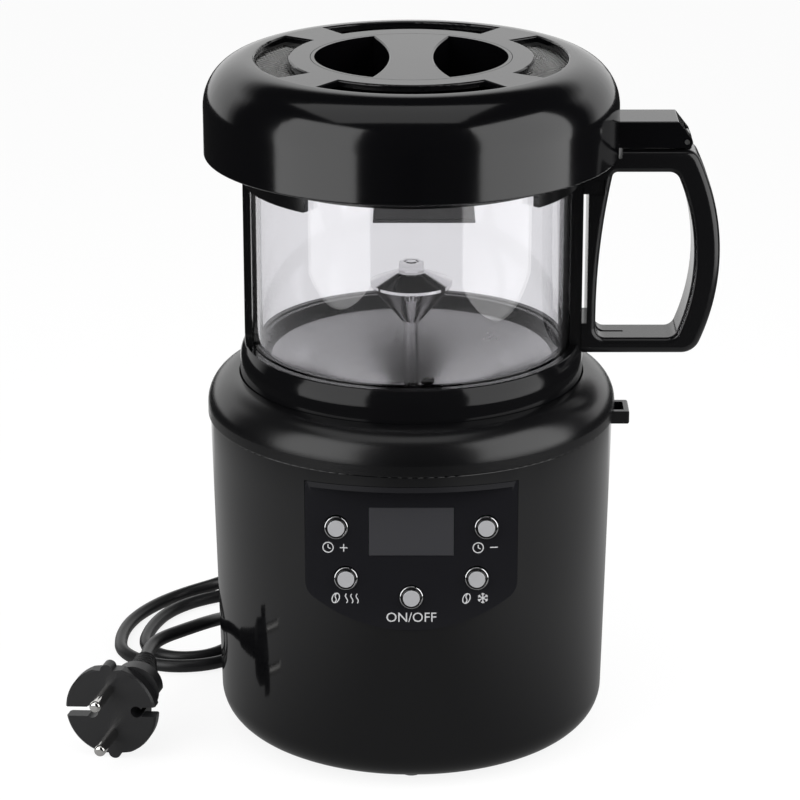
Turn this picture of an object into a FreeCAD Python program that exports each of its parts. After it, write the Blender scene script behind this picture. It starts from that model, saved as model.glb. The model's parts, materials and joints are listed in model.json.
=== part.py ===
"""Home coffee bean roaster: base, lift-off glass chamber with a D-handle, hinged vented lid.

Millimetres, +Z up. The origin is on the axis of the round body, on the surface that its feet
stand on. The control panel faces -Y and the handle points along +X.
"""
import FreeCAD, Part
import math
import os
import Sketcher
from FreeCAD import Placement, Rotation, Vector

LEFT, RIGHT = 1, -1

# name, size in mm (or degrees where the name says angle, or a count)
SIZES = [
    ("foot_height", 2.0), ("foot_radius", 4.3),
    ("casing_height", 132.3), ("base_margin", 17.6), ("casing_taper", 2.65),
    ("casing_corner", 14.0), ("casing_wall", 2.5), ("foot_land", 8.95), ("seam_round", 0.5),
    ("shoulder_overhang", 0.9), ("shoulder_skirt", 4.4), ("shoulder_wall", 2.2), ("well_gap", 0.5),
    ("deck_drop", 3.3), ("deck_thickness", 3.0), ("deck_gap", 0.5),
    ("post_inset", 7.0), ("post_radius", 3.8), ("post_start", 15.0),
    ("screw_radius", 1.45), ("screw_head", 2.4), ("screw_head_height", 1.2), ("screw_bite", 9.0),
    ("fit_gap", 0.05), ("loose_gap", 0.3),
    ("plate_lap", 6.0), ("plate_thickness", 1.8),
    ("intake_inner", 24.0), ("intake_outer", 46.0), ("intake_width", 2.6), ("intake_count", 24),
    ("motor_lift", 10.0), ("motor_height", 32.0), ("motor_radius", 17.0), ("shaft_radius", 1.5),
    ("bracket_thickness", 2.0), ("bracket_arm", 8.0), ("bracket_hub", 12.0),
    ("bracket_ring", 6.0), ("shaft_start", 8.0), ("shaft_short", 6.0),
    ("fan_wall_radius", 45.0), ("fan_wall", 2.0), ("fan_wall_height", 28.0), ("fan_outlet", 32.0),
    ("hub_lift", 5.0), ("impeller_radius", 39.0), ("impeller_hub", 8.0), ("blade_width", 14.0),
    ("blade_thickness", 1.2), ("blade_angle", 35.0), ("blade_count", 7),
    ("heater_radius", 38.0), ("heater_wall", 1.8), ("mica_thickness", 1.0), ("mica_half", 25.0),
    ("mica_wing", 3.5), ("coil_wire", 0.8), ("coil_pitch", 5.0), ("coil_turns", 8),
    ("coil_gap", 0.2),
    ("cutout_radius", 5.0), ("cutout_depth", 5.0),
    ("board_thickness", 1.6), ("board_inset", 3.6), ("board_low", 8.6),
    ("power_board_half", 53.0), ("power_board_low", 36.0),
    ("power_board_height", 48.0), ("transformer_across", 22.0), ("transformer_deep", 12.0),
    ("transformer_tall", 24.0), ("relay_across", 16.0), ("relay_deep", 11.0), ("relay_tall", 16.0),
    ("capacitor_radius", 6.0), ("capacitor_deep", 11.0), ("board_margin", 7.0), ("part_gap", 10.0),
    ("interlock_half", 9.0), ("interlock_deep", 3.0), ("interlock_tall", 5.0),
    ("panel_angle", 6.5), ("panel_half", 41.4), ("panel_bottom", 68.0), ("panel_proud", 0.4),
    ("panel_height", 59.4), ("panel_arc", 63.0), ("panel_corner", 8.0), ("panel_bow", 260.0),
    ("panel_thickness", 2.4), ("panel_rim", 2.2), ("panel_depth", 10.0), ("panel_gap", 0.2),
    ("window_half", 16.5), ("window_low", 30.2), ("window_height", 19.2), ("window_thickness", 2.0),
    ("window_set", 0.6),
    ("button_radius", 4.6), ("button_gap", 0.25), ("button_travel", 0.8), ("button_dome", 1.5),
    ("time_across", 29.2), ("time_up", 41.4), ("mode_across", 25.5), ("mode_up", 21.0),
    ("power_up", 13.6), ("switch_half", 3.0), ("switch_height", 3.5),
    ("tab_proud", 5.9), ("tab_half", 7.15), ("tab_height", 5.3), ("tab_top", 0.7),
    ("tab_flange", 2.85), ("tab_flange_thickness", 1.8), ("tab_clear", 3.7), ("tab_travel", 3.0),
    ("tab_pocket", 3.5), ("tab_wall", 2.2), ("tab_round", 0.8),
    ("seal_height", 1.0), ("ring_wall", 5.2), ("ring_curve", 2.0), ("bore_inset", 4.8),
    ("ring_height", 32.5), ("band_height", 25.5), ("groove_depth", 6.0),
    ("ring_skirt_wall", 3.0), ("ledge_width", 2.1), ("ledge_thickness", 2.5), ("bowl_drop", 6.3),
    ("glass_radius", 64.0), ("glass_wall", 2.8), ("glass_height", 84.9), ("glass_gap", 0.2),
    ("bowl_sheet", 0.8), ("bowl_depth", 18.8), ("bowl_floor", 15.0), ("bowl_flange", 2.4),
    ("air_hole", 1.6), ("air_ring", 10.0), ("air_count", 12), ("air_vent", 2.8),
    ("air_vent_ring", 16.0), ("air_vent_count", 4),
    ("rod_radius", 3.0), ("rod_foot", 6.0), ("rod_reach", 56.5), ("cone_rise", 31.8),
    ("cone_radius", 16.5), ("cone_height", 15.0), ("cone_cap", 5.5), ("nut_radius", 5.0),
    ("nut_height", 4.0),
    ("upper_wall", 3.2), ("upper_lip", 4.1), ("upper_skirt", 6.4), ("upper_cap", 2.6),
    ("segment_drop", 5.5), ("left_rail_half", 5.0), ("right_rail_half", 10.0), ("rail_proud", 1.0),
    ("rail_flare", 8.0),
    ("handle_width", 20.7), ("grip_beyond", 40.3), ("grip_thickness", 10.1), ("bar_rise", 2.7),
    ("bar_height", 9.2), ("handle_bottom", 4.0), ("bottom_bar", 6.4), ("slit_gap", 2.0),
    ("slit_low", 10.0), ("slit_high", 64.5), ("hole_round", 2.2), ("handle_round", 2.8),
    ("grip_bow", 92.6), ("leg_width", 5.6), ("leg_flare", 6.0), ("leg_flare_height", 59.0),
    ("ring_clear", 0.3), ("handle_screw", 1.1), ("handle_head", 2.4), ("handle_head_height", 1.6),
    ("handle_shank", 6.4), ("handle_well", 3.2),
    ("lid_margin", 18.3), ("lid_height", 38.3), ("lid_round", 19.0), ("lid_wall", 2.5),
    ("skirt_drop", 3.9), ("vent_clear", 9.0), ("vent_inset", 20.6), ("vent_angle", 70.0),
    ("arm_gap", 1.1), ("arm_height", 10.5), ("arm_top", 3.6), ("pivot_beyond", 26.2),
    ("barrel_radius", 2.3), ("pin_radius", 1.0), ("knuckle_half", 3.5),
    ("pan_gap", 0.6), ("pan_wall", 2.0), ("pan_dip", 6.0), ("pan_floor", 1.3),
    ("pan_sheet", 1.5), ("pan_overlap", 7.1), ("mesh_drop", 5.2), ("mesh_thickness", 0.6),
    ("mesh_lap", 2.8), ("lid_post_inset", 7.3), ("lid_post_radius", 3.0), ("lid_screw", 1.2),
    ("lid_screw_head", 2.4), ("lid_screw_head_height", 1.3), ("lid_screw_length", 10.0),
    ("flue_across", 39.1), ("flue_deep", 30.0), ("flue_length", 30.3), ("flue_flare", 2.6),
    ("flue_wall", 1.6), ("flue_offset", 5.0), ("flue_lip", 0.6),
    ("knob_radius", 39.6), ("knob_gap", 0.25), ("knob_wall", 1.4), ("knob_depth", 28.4),
    ("knob_floor", 2.0), ("knob_rim", 2.8), ("grip_waist", 8.85), ("grip_curve", 96.0),
    ("gland_stem", 7.35), ("gland_angle", 120.0), ("gland_height", 18.0), ("gland_radius", 6.0),
    ("gland_flange", 8.5), ("gland_nut", 3.4), ("gland_lip", 2.0), ("relief_length", 26.0),
    ("relief_radius", 5.0), ("relief_tip", 3.7), ("cord_radius", 2.8),
    ("plug_radius", 19.0), ("plug_face", 6.0), ("plug_flat", 17.9), ("plug_bump", 1.3),
    ("plug_slot", 2.0), ("plug_slot_eye", 2.7), ("plug_notch", 6.0),
    ("plug_puck", 14.5), ("plug_back", 17.0), ("plug_lobe", 10.4),
    ("plug_lobe_across", 9.1), ("plug_lobe_up", 7.3), ("plug_neck", 3.7), ("plug_neck_root", 7.2),
    ("plug_neck_length", 27.0), ("plug_earth", 2.4), ("plug_earth_across", 10.9),
    ("plug_pin_radius", 2.4), ("plug_pin_root", 1.8), ("plug_pin_length", 19.0),
    ("plug_pin_spacing", 19.0),
]


class Size:
    """A length that carries its value and the spreadsheet formula it comes from."""

    def __init__(self, number, formula):
        self.number = float(number)
        self.formula = formula

    def joined(self, other, sign, number, swapped=False):
        pair = (self.formula, formula_of(other))
        first, second = reversed(pair) if swapped else pair
        return Size(number, f"({first} {sign} {second})")

    def __add__(self, other):
        return self.joined(other, "+", self.number + number_of(other))

    def __radd__(self, other):
        return self.joined(other, "+", self.number + number_of(other), True)

    def __sub__(self, other):
        return self.joined(other, "-", self.number - number_of(other))

    def __rsub__(self, other):
        return self.joined(other, "-", number_of(other) - self.number, True)

    def __mul__(self, other):
        return self.joined(other, "*", self.number * number_of(other))

    def __rmul__(self, other):
        return self.joined(other, "*", self.number * number_of(other), True)

    def __truediv__(self, other):
        return self.joined(other, "/", self.number / number_of(other))

    def __neg__(self):
        return 0 - self


def number_of(size):
    return size.number if isinstance(size, Size) else float(size)


def formula_of(size):
    return size.formula if isinstance(size, Size) else repr(float(size))


def root(size):
    return Size(math.sqrt(number_of(size)), f"sqrt({formula_of(size)})")


def sine(angle):
    return Size(math.sin(math.radians(number_of(angle))), f"sin({formula_of(angle)})")


def cosine(angle):
    return Size(math.cos(math.radians(number_of(angle))), f"cos({formula_of(angle)})")


def make_sheet():
    sheet = doc.addObject("Spreadsheet::Sheet", "Sizes")
    for row, (name, size) in enumerate(SIZES, start=1):
        sheet.set(f"A{row}", name)
        sheet.set(f"B{row}", str(size))
        sheet.setAlias(f"B{row}", name)
    doc.recompute()
    return {name: Size(sheet.get(name), f"Sizes.{name}") for name, _ in SIZES}


doc = FreeCAD.newDocument("coffee_roaster")
size = make_sheet()
nodes = []


# ---- drawing helpers -----------------------------------------------------------------------

def bind(thing, name, wanted):
    """Sets a property from the spreadsheet, or to a plain number."""
    if isinstance(wanted, Size):
        thing.setExpression(name, wanted.formula)
    else:
        thing.setExpression(name, repr(float(wanted)))


def put(thing, x=0, y=0, z=0, turn=None):
    """Places an object: its base follows the sheet, its turn is (axis, angle)."""
    if turn is not None:
        thing.Placement = Placement(Vector(), Rotation(turn[0], number_of(turn[1])))
    for name, wanted in (("x", x), ("y", y), ("z", z)):
        if isinstance(wanted, Size) or wanted:
            bind(thing, f"Placement.Base.{name}", wanted)
    return thing


def keep(label, thing):
    """Names a finished sub-part and lists it as a node."""
    thing.Label = label
    nodes.append(thing)
    return thing


AXIS_TURNS = {"X": (Vector(0, 1, 0), 90), "Y": (Vector(1, 0, 0), -90), "Z": None}


def cylinder(radius, height, x=0, y=0, z=0, axis="Z", sweep=None):
    thing = doc.addObject("Part::Cylinder", "cylinder")
    bind(thing, "Radius", radius)
    bind(thing, "Height", height)
    if sweep is not None:
        bind(thing, "Angle", sweep)
    return put(thing, x, y, z, AXIS_TURNS[axis])


def box(x0, x1, y0, y1, z0, z1):
    thing = doc.addObject("Part::Box", "box")
    bind(thing, "Length", x1 - x0)
    bind(thing, "Width", y1 - y0)
    bind(thing, "Height", z1 - z0)
    return put(thing, x0, y0, z0)


def cut(base, *tools):
    thing = doc.addObject("Part::Cut", "cut")
    thing.Base = base
    thing.Tool = tools[0] if len(tools) == 1 else fuse(*tools)
    return thing


def fuse(*things):
    thing = doc.addObject("Part::MultiFuse", "fuse")
    thing.Shapes = list(things)
    return thing


def common(*things):
    thing = doc.addObject("Part::MultiCommon", "common")
    thing.Shapes = list(things)
    return thing


def group(*things):
    thing = doc.addObject("Part::Compound", "group")
    thing.Links = list(things)
    return thing


def tube(outer, inner, z0, z1):
    return cut(cylinder(outer, z1 - z0, z=z0), cylinder(inner, z1 - z0 + 2, z=z0 - 1))


def sector(outer, inner, z0, z1, middle, sweep):
    """A piece of a ring that spans an angle, centred on the direction given in degrees."""
    wedge = cylinder(outer, z1 - z0, sweep=sweep)
    ring = cut(wedge, cylinder(inner, z1 - z0 + 2, z=-1))
    turned_ring = group(ring)
    turned_ring.setExpression("Placement.Rotation.Angle", formula_of(middle - sweep / 2))
    return put(turned_ring, z=z0)


def around(thing, count, radius=0, start=0):
    """Copies of a thing, spaced evenly about the Z axis at a radius."""
    copies = []
    for step in range(int(number_of(count))):
        angle = start + 360.0 * step / int(number_of(count))
        copy = group(thing)
        copy.Placement = Placement(Vector(), Rotation(Vector(0, 0, 1), angle))
        across, along = math.cos(math.radians(angle)), math.sin(math.radians(angle))
        copies.append(put(copy, radius * across, radius * along))
    return copies


def draw(sketch, outline):
    """Draws a closed outline of corners (x, y), or (x, y, radius, side) where an arc arrives."""
    ends = []
    for here, there in zip(outline, outline[1:] + outline[:1]):
        start = Vector(number_of(here[0]), number_of(here[1]), 0)
        end = Vector(number_of(there[0]), number_of(there[1]), 0)
        if len(there) == 2:
            edge = sketch.addGeometry(Part.LineSegment(start, end))
            ends.append((edge, 1, 2))
            continue
        edge = sketch.addGeometry(arc_between(start, end, number_of(there[2]), there[3]))
        ends.append((edge, 1, 2) if there[3] == LEFT else (edge, 2, 1))
        pin(sketch, Sketcher.Constraint("Radius", edge, number_of(there[2])), there[2])
    for (edge, _, last), (following, first, _) in zip(ends, ends[1:] + ends[:1]):
        sketch.addConstraint(Sketcher.Constraint("Coincident", edge, last, following, first))
    for (edge, first, _), corner in zip(ends, outline):
        for name, axis, wanted in (("DistanceX", -2, corner[0]), ("DistanceY", -1, corner[1])):
            if isinstance(wanted, Size) or wanted:
                rule = Sketcher.Constraint(name, -1, 1, edge, first, number_of(wanted))
                pin(sketch, rule, wanted)
            else:
                sketch.addConstraint(Sketcher.Constraint("PointOnObject", edge, first, axis))


def pin(sketch, rule, wanted):
    """Adds a constraint and ties it to the sheet."""
    index = sketch.addConstraint(rule)
    sketch.renameConstraint(index, f"size{index}")
    bind(sketch, f"Constraints.size{index}", wanted)


def arc_between(start, end, radius, side):
    chord = end - start
    across = Vector(-chord.y, chord.x, 0).normalize()
    reach = math.sqrt(max(radius ** 2 - (chord.Length / 2) ** 2, 0))
    centre = (start + end) * 0.5 + across * (side * reach)
    first, last = (start, end) if side == LEFT else (end, start)
    begin = math.atan2(first.y - centre.y, first.x - centre.x)
    finish = math.atan2(last.y - centre.y, last.x - centre.x)
    if finish <= begin:
        finish += 2 * math.pi
    return Part.ArcOfCircle(Part.Circle(centre, Vector(0, 0, 1), radius), begin, finish)


def turned(name, outline):
    """A body turned about the Z axis from an outline of (radius, height) corners."""
    body = doc.addObject("PartDesign::Body", name)
    sketch = body.newObject("Sketcher::SketchObject", f"{name}_outline")
    plane = [part for part in body.Origin.OriginFeatures if part.Role == "XZ_Plane"][0]
    sketch.AttachmentSupport = (plane, [""])
    sketch.MapMode = "FlatFace"
    draw(sketch, outline)
    revolution = body.newObject("PartDesign::Revolution", f"{name}_turn")
    revolution.Profile = sketch
    revolution.ReferenceAxis = (sketch, ["V_Axis"])
    revolution.Angle = 360
    return body


def sawn(outline, half_width):
    """A plate cut to an outline of (x, z) corners, centred on the XZ plane."""
    sketch = doc.addObject("Sketcher::SketchObject", "plate_outline")
    sketch.Placement = Placement(Vector(), Rotation(Vector(1, 0, 0), 90))
    draw(sketch, outline)
    plate = doc.addObject("Part::Extrusion", "plate")
    plate.Base = sketch
    plate.DirMode = "Custom"
    plate.Dir = Vector(0, 1, 0)
    plate.Solid = True
    bind(plate, "LengthFwd", half_width)
    bind(plate, "LengthRev", half_width)
    return plate


def rounded(thing, radius, wanted):
    """Rounds the edges that wanted(edge) picks."""
    doc.recompute()
    edges = thing.Shape.Edges
    picked = [number for number, edge in enumerate(edges, start=1) if wanted(edge)]
    if not picked:
        raise ValueError("no edge to round")
    fillet = doc.addObject("Part::Fillet", "rounding")
    fillet.Base = thing
    fillet.Edges = [(number, number_of(radius), number_of(radius)) for number in picked]
    return fillet


def circle_at(edge, radius=None, z=None, slack=0.02):
    """Tells whether an edge is a circle about the Z axis with this radius and height."""
    curve = edge.Curve
    if not isinstance(curve, Part.Circle) or math.hypot(curve.Center.x, curve.Center.y) > slack:
        return False
    right_radius = radius is None or abs(curve.Radius - number_of(radius)) < slack
    return right_radius and (z is None or abs(curve.Center.z - number_of(z)) < slack)


# ---- radii, all taken from the glass, and levels, from the table upwards -----------------------

glass_radius = size["glass_radius"]
seam_radius = glass_radius + size["base_margin"]
bottom_radius = seam_radius - size["casing_taper"]
floor_reach = bottom_radius - size["casing_corner"]
base_opening = floor_reach - size["foot_land"]
foot_circle = base_opening + size["foot_land"] / 2
plate_screw_circle = base_opening + size["plate_lap"] / 2
post_circle = seam_radius - size["post_inset"]
shoulder_radius = seam_radius + size["shoulder_overhang"]
band_radius = glass_radius + size["ring_wall"]
lip_radius = band_radius - size["ring_curve"]
well_radius = band_radius + size["well_gap"]
ring_bore = glass_radius - size["bore_inset"]
ledge_bore = ring_bore - size["ledge_width"]
tab_root = well_radius + size["tab_clear"]
tab_reach = shoulder_radius + size["tab_proud"]
upper_radius = glass_radius + size["upper_wall"]
upper_bore = glass_radius - size["upper_lip"]
rail_face = upper_radius + size["rail_proud"]
lid_radius = glass_radius + size["lid_margin"]
handle_reach = lid_radius + size["grip_beyond"]
pivot_reach = lid_radius + size["pivot_beyond"]
vent_outer = lid_radius - size["vent_inset"]
vent_inner = size["knob_radius"] + size["vent_clear"]
pan_radius = upper_bore - size["pan_gap"]
pan_flange = upper_bore + size["pan_overlap"]
lid_post_circle = pan_radius - size["lid_post_inset"]

under = size["foot_height"]
seam = under + size["casing_height"]
corner_top = under + size["casing_corner"]
shoulder_round = shoulder_radius - well_radius
shoulder_turn = seam + size["shoulder_skirt"]
shoulder_top = shoulder_turn + shoulder_round
deck_top = seam - size["deck_drop"]
deck_bottom = deck_top - size["deck_thickness"]
ring_bottom = deck_top + size["seal_height"]
ring_top = ring_bottom + size["ring_height"]
band_top = ring_bottom + size["band_height"]
groove_floor = ring_top - size["groove_depth"]
glass_top = groove_floor + size["glass_height"]
upper_top = glass_top + size["upper_cap"]
upper_bottom = glass_top - size["upper_skirt"]
segment_bottom = upper_bottom - size["segment_drop"]
bowl_seat = ring_top - size["bowl_drop"]
bowl_rim = bowl_seat + size["bowl_sheet"]
bowl_floor_top = bowl_rim - size["bowl_depth"]
skirt_bottom = upper_top - size["skirt_drop"]
lid_top = skirt_bottom + size["lid_height"]
lid_ceiling = lid_top - size["lid_wall"]
bar_top = skirt_bottom + size["bar_rise"]
bar_bottom = bar_top - size["bar_height"]
pivot_height = bar_top + size["arm_gap"] + size["barrel_radius"]
motor_bottom = under + size["motor_lift"]
motor_top = motor_bottom + size["motor_height"]
fan_floor = motor_top + size["bracket_thickness"]
fan_top = fan_floor + size["fan_wall_height"]
groove_outer = glass_radius + size["glass_gap"]
groove_inner = glass_radius - size["glass_wall"] - size["glass_gap"]
pan_top = lid_top - size["mesh_drop"]
pan_base = upper_top + size["pan_floor"]


# ---- base: shells ------------------------------------------------------------------------------

def post_copies(thing):
    return around(thing, 4, post_circle, 45)


def panel_place(thing):
    """Stands a piece drawn flat (x across, y up the panel, z out of it) on the panel's slope."""
    placed = group(thing)
    placed.Placement = Placement(Vector(), Rotation(Vector(1, 0, 0), 90))
    placed.setExpression("Placement.Rotation.Angle", formula_of(90 - size["panel_angle"]))
    return put(placed, y=-(panel_front + size["panel_proud"]), z=panel_base)


panel_base = under + size["panel_bottom"]
casing_slope = (seam_radius - bottom_radius) \
    / (size["casing_height"] - size["casing_corner"])
panel_front = bottom_radius \
    + casing_slope * (size["panel_bottom"] - size["casing_corner"])


def panel_blank(inset, low, high):
    """The panel's outline as a prism: straight sides, a broad arc below, two round corners."""
    half = size["panel_half"] - inset
    sides = box(-half, half, inset - 1, size["panel_height"] - inset, low, high)
    arc = cylinder(size["panel_arc"] - inset, high - low, y=size["panel_arc"], z=low)
    blank = common(sides, arc)
    corner = size["panel_arc"] - root((size["panel_arc"] - inset) * (size["panel_arc"] - inset)
                                      - half * half)

    def lower_corner(edge):
        middle = edge.CenterOfMass
        upright = abs(edge.BoundBox.ZLength - (number_of(high) - number_of(low))) < 0.01
        return upright and abs(middle.y - number_of(corner)) < 0.05

    return rounded(blank, size["panel_corner"] - inset, lower_corner)


def lower_casing():
    wall, turn = size["casing_wall"], size["casing_corner"]
    shell = turned("casing_shell", [
        (base_opening, under),
        (floor_reach, under),
        (bottom_radius, corner_top, turn, LEFT),
        (seam_radius, seam),
        (seam_radius - wall, seam),
        (bottom_radius - wall, corner_top),
        (floor_reach, under + wall, turn - wall, RIGHT),
        (base_opening, under + wall),
    ])
    shell = rounded(shell, size["seam_round"], lambda edge: circle_at(edge, seam_radius, seam))
    post_low = under + size["post_start"]
    posts = post_copies(cylinder(size["post_radius"], deck_bottom - post_low, z=post_low))
    bite = size["screw_bite"] + 1
    holes = post_copies(cylinder(size["screw_radius"] + size["fit_gap"], bite, z=deck_bottom - bite))
    opening = panel_place(panel_blank(-size["panel_gap"], -15, 15))
    tab_slot = box(tab_root + size["tab_travel"], shoulder_radius + 1,
                   -(size["tab_half"] + size["loose_gap"]), size["tab_half"] + size["loose_gap"],
                   tab_low - size["loose_gap"], seam + 1)
    gland_hole = along_gland(cylinder(size["gland_radius"] + size["fit_gap"], 30), gland_start - 8)
    screws = around(cylinder(size["screw_radius"] + size["loose_gap"], 6, z=under - 1), 4,
                    plate_screw_circle, 45)
    shape = cut(fuse(shell, *posts), *holes, opening, tab_slot, gland_hole, *screws)
    keep("lower_casing", shape)


def along_gland(thing, radius):
    """Points a piece along the cord's way out of the casing, starting at a radius."""
    placed = group(thing)
    angle = number_of(size["gland_angle"])
    placed.Placement = Placement(Vector(), Rotation(Vector(0, 0, 1), angle)
                                 * Rotation(Vector(0, 1, 0), 90))
    across, along = cosine(size["gland_angle"]), sine(size["gland_angle"])
    return put(placed, across * radius, along * radius, under + size["gland_height"])


gland_surface = bottom_radius + 0.4
gland_start = gland_surface - size["gland_stem"]
tab_high = seam + size["tab_top"]
tab_low = tab_high - size["tab_height"]


def shoulder_cover():
    wall = size["shoulder_wall"]
    inner_turn = shoulder_round - wall
    rim = shoulder_radius - wall
    sleeve = well_radius + wall
    shell = turned("shoulder_shell", [
        (rim, seam),
        (shoulder_radius, seam),
        (shoulder_radius, shoulder_turn),
        (well_radius, shoulder_top, shoulder_round, LEFT),
        (well_radius, deck_top),
        (sleeve, deck_top),
        (sleeve, shoulder_turn + root(inner_turn * inner_turn - wall * wall)),
        (rim, shoulder_turn, inner_turn, RIGHT),
    ])
    slot = box(sleeve + 1, shoulder_radius + 1,
               -(size["tab_half"] + size["loose_gap"]), size["tab_half"] + size["loose_gap"],
               seam - 1, tab_high + size["loose_gap"])
    shell = rounded(shell, size["seam_round"], lambda edge: circle_at(edge, shoulder_radius, seam))
    keep("shoulder_cover", cut(shell, slot))


def bottom_plate():
    disc_radius = base_opening - size["loose_gap"]
    plate_flange = base_opening + size["plate_lap"]
    inner_floor = under + size["casing_wall"]
    top = inner_floor + size["plate_thickness"]
    disc = turned("plate_disc", [
        (0, under), (disc_radius, under), (disc_radius, inner_floor),
        (plate_flange, inner_floor), (plate_flange, top), (0, top),
    ])
    slots = cut_slots(disc)
    boss_height = size["screw_bite"] - size["plate_thickness"]
    bosses = around(cylinder(size["screw_radius"] + 1.6, boss_height, z=top), 4,
                    plate_screw_circle, 45)
    holes = around(cylinder(size["screw_radius"] + size["fit_gap"], size["screw_bite"] + 2,
                            z=inner_floor - 1), 4, plate_screw_circle, 45)
    keep("bottom_plate", cut(fuse(slots, *bosses), *holes))


def cut_slots(body):
    """Cuts one radial air slot through a turned body and repeats it about the axis."""
    sketch = body.newObject("Sketcher::SketchObject", "slot_outline")
    plane = [part for part in body.Origin.OriginFeatures if part.Role == "XY_Plane"][0]
    sketch.AttachmentSupport = (plane, [""])
    sketch.MapMode = "FlatFace"
    half = size["intake_width"] / 2
    draw(sketch, [(size["intake_inner"], -half), (size["intake_outer"], -half),
                  (size["intake_outer"], half), (size["intake_inner"], half)])
    pocket = body.newObject("PartDesign::Pocket", "slot")
    pocket.Profile = sketch
    pocket.Type = "Length"
    pocket.Reversed = True
    bind(pocket, "Length", under + size["casing_wall"] + size["plate_thickness"] + 1)
    doc.recompute()
    before = pocket.Shape.Volume
    pattern = body.newObject("PartDesign::PolarPattern", "slots")
    pattern.Originals = [pocket]
    axis = [part for part in body.Origin.OriginFeatures if part.Role == "Z_Axis"][0]
    pattern.Axis = (axis, [""])
    pattern.Angle = 360
    bind(pattern, "Occurrences", size["intake_count"])
    body.Tip = pattern
    doc.recompute()
    if body.Shape.Volume >= before:
        raise ValueError("the air slots cut nothing")
    return body


def small_fixings():
    foot = cylinder(size["foot_radius"], under)
    keep("rubber_feet", group(*around(foot, 4, foot_circle)))
    inner_floor = under + size["casing_wall"]
    head = cylinder(size["screw_head"], size["screw_head_height"], z=under - size["screw_head_height"])
    shank = cylinder(size["screw_radius"], size["casing_wall"] + size["screw_bite"] - 1, z=under - 0.01)
    keep("bottom_screws", group(*around(fuse(head, shank), 4, plate_screw_circle, 45)))
    deck_head = cylinder(size["screw_head"], size["screw_head_height"], z=deck_top)
    deck_shank = cylinder(size["screw_radius"], size["deck_thickness"] + size["screw_bite"],
                          z=deck_bottom - size["screw_bite"])
    keep("deck_screws", group(*post_copies(fuse(deck_head, deck_shank))))


def seat_deck():
    reach = seam_radius - size["casing_wall"] - size["deck_gap"]
    disc = tube(reach, size["heater_radius"] - size["heater_wall"], deck_bottom, deck_top)
    back_of_panel = panel_front + size["panel_proud"] \
        - size["panel_height"] * sine(size["panel_angle"]) - size["panel_depth"]
    chord = box(-(size["panel_half"] + 2), size["panel_half"] + 2, -reach - 1,
                -(back_of_panel - size["loose_gap"]), deck_bottom - 1, deck_top + 1)
    flange_half = size["tab_half"] + size["tab_flange"] + size["loose_gap"]
    notch = box(tab_root - size["loose_gap"], reach + 1, -flange_half, flange_half,
                deck_bottom - 1, deck_top + 1)
    holes = post_copies(cylinder(size["screw_radius"] + size["loose_gap"],
                                 size["deck_thickness"] + 2, z=deck_bottom - 1))
    keep("seat_deck", cut(disc, chord, notch, *holes))
    keep("chamber_seal", tube(band_radius - 0.2,
                              band_radius - size["ring_skirt_wall"] + 0.2,
                              deck_top, ring_bottom))


def release_tab():
    stem = box(tab_root, tab_reach, -size["tab_half"], size["tab_half"],
               tab_low, tab_high)
    flange_half = size["tab_half"] + size["tab_flange"]
    flange = box(tab_root, tab_root + size["tab_flange_thickness"],
                 -flange_half, flange_half, tab_low, tab_high)
    pocket_half = size["tab_half"] - size["tab_wall"]
    pocket = box(shoulder_radius - 1.5, tab_reach - size["tab_wall"], -pocket_half, pocket_half,
                 tab_high - size["tab_pocket"], tab_high + 1)

    def outer_end(edge):
        return edge.BoundBox.XMin > number_of(tab_reach) - 0.01

    keep("release_tab", cut(fuse(rounded(stem, size["tab_round"], outer_end), flange), pocket))


# ---- base: control panel -----------------------------------------------------------------------

BUTTONS = [
    ("button_time_up", -size["time_across"], size["time_up"]),
    ("button_time_down", size["time_across"], size["time_up"]),
    ("button_roast", -size["mode_across"], size["mode_up"]),
    ("button_cool", size["mode_across"], size["mode_up"]),
    ("button_power", 0 * size["mode_across"], size["power_up"]),
]


def panel_surface(across):
    """How far the bowed panel face lies behind its middle line, at a distance across."""
    return -(across * across) / (2 * size["panel_bow"])


stem_end = panel_surface(size["time_across"]) - size["panel_thickness"] - 2.2
board_front = stem_end - size["button_travel"] - 0.2 - 1.0 - size["switch_height"]
BUTTON_FLANGE = 0.8


def control_panel():
    bow, deep = size["panel_bow"], size["panel_depth"]
    tall = size["panel_height"] + 20
    front = cylinder(bow, tall, y=-10, z=-bow, axis="Y")
    back = cylinder(bow - size["panel_thickness"], tall, y=-10, z=-bow, axis="Y")
    face = common(panel_blank(0, -deep, 10), front)
    frame = cut(panel_blank(0, -deep, 12), panel_blank(size["panel_rim"], -deep - 1, 13))
    hollow = common(panel_blank(size["panel_rim"], -deep - 1, 10), back)
    posts = [cylinder(2.2, board_post, x=side * (size["panel_half"] - 5.6), y=height, z=board_front)
             for side in (-1, 1) for height in (26, size["panel_height"] - 6)]
    cone = doc.addObject("Part::Cone", "casing_outside")
    bind(cone, "Radius1", bottom_radius)
    bind(cone, "Radius2", seam_radius)
    bind(cone, "Height", seam - corner_top)
    put(cone, z=corner_top)
    ledge = common(panel_place(frame), cone)
    blank = fuse(panel_place(cut(face, hollow)), ledge, *[panel_place(post) for post in posts])
    window = box(-size["window_half"] - 0.15, size["window_half"] + 0.15,
                 size["window_low"] - 0.15, size["window_low"] + size["window_height"] + 0.15, -9, 9)
    holes = [cylinder(size["button_radius"] + size["button_gap"], 18, x=x, y=y, z=-9)
             for _, x, y in BUTTONS]
    keep("control_panel", cut(blank, *[panel_place(tool) for tool in [window] + holes]))


board_post = panel_surface(size["panel_half"] - 5.6) - size["panel_thickness"] + 0.6 - board_front


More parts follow.
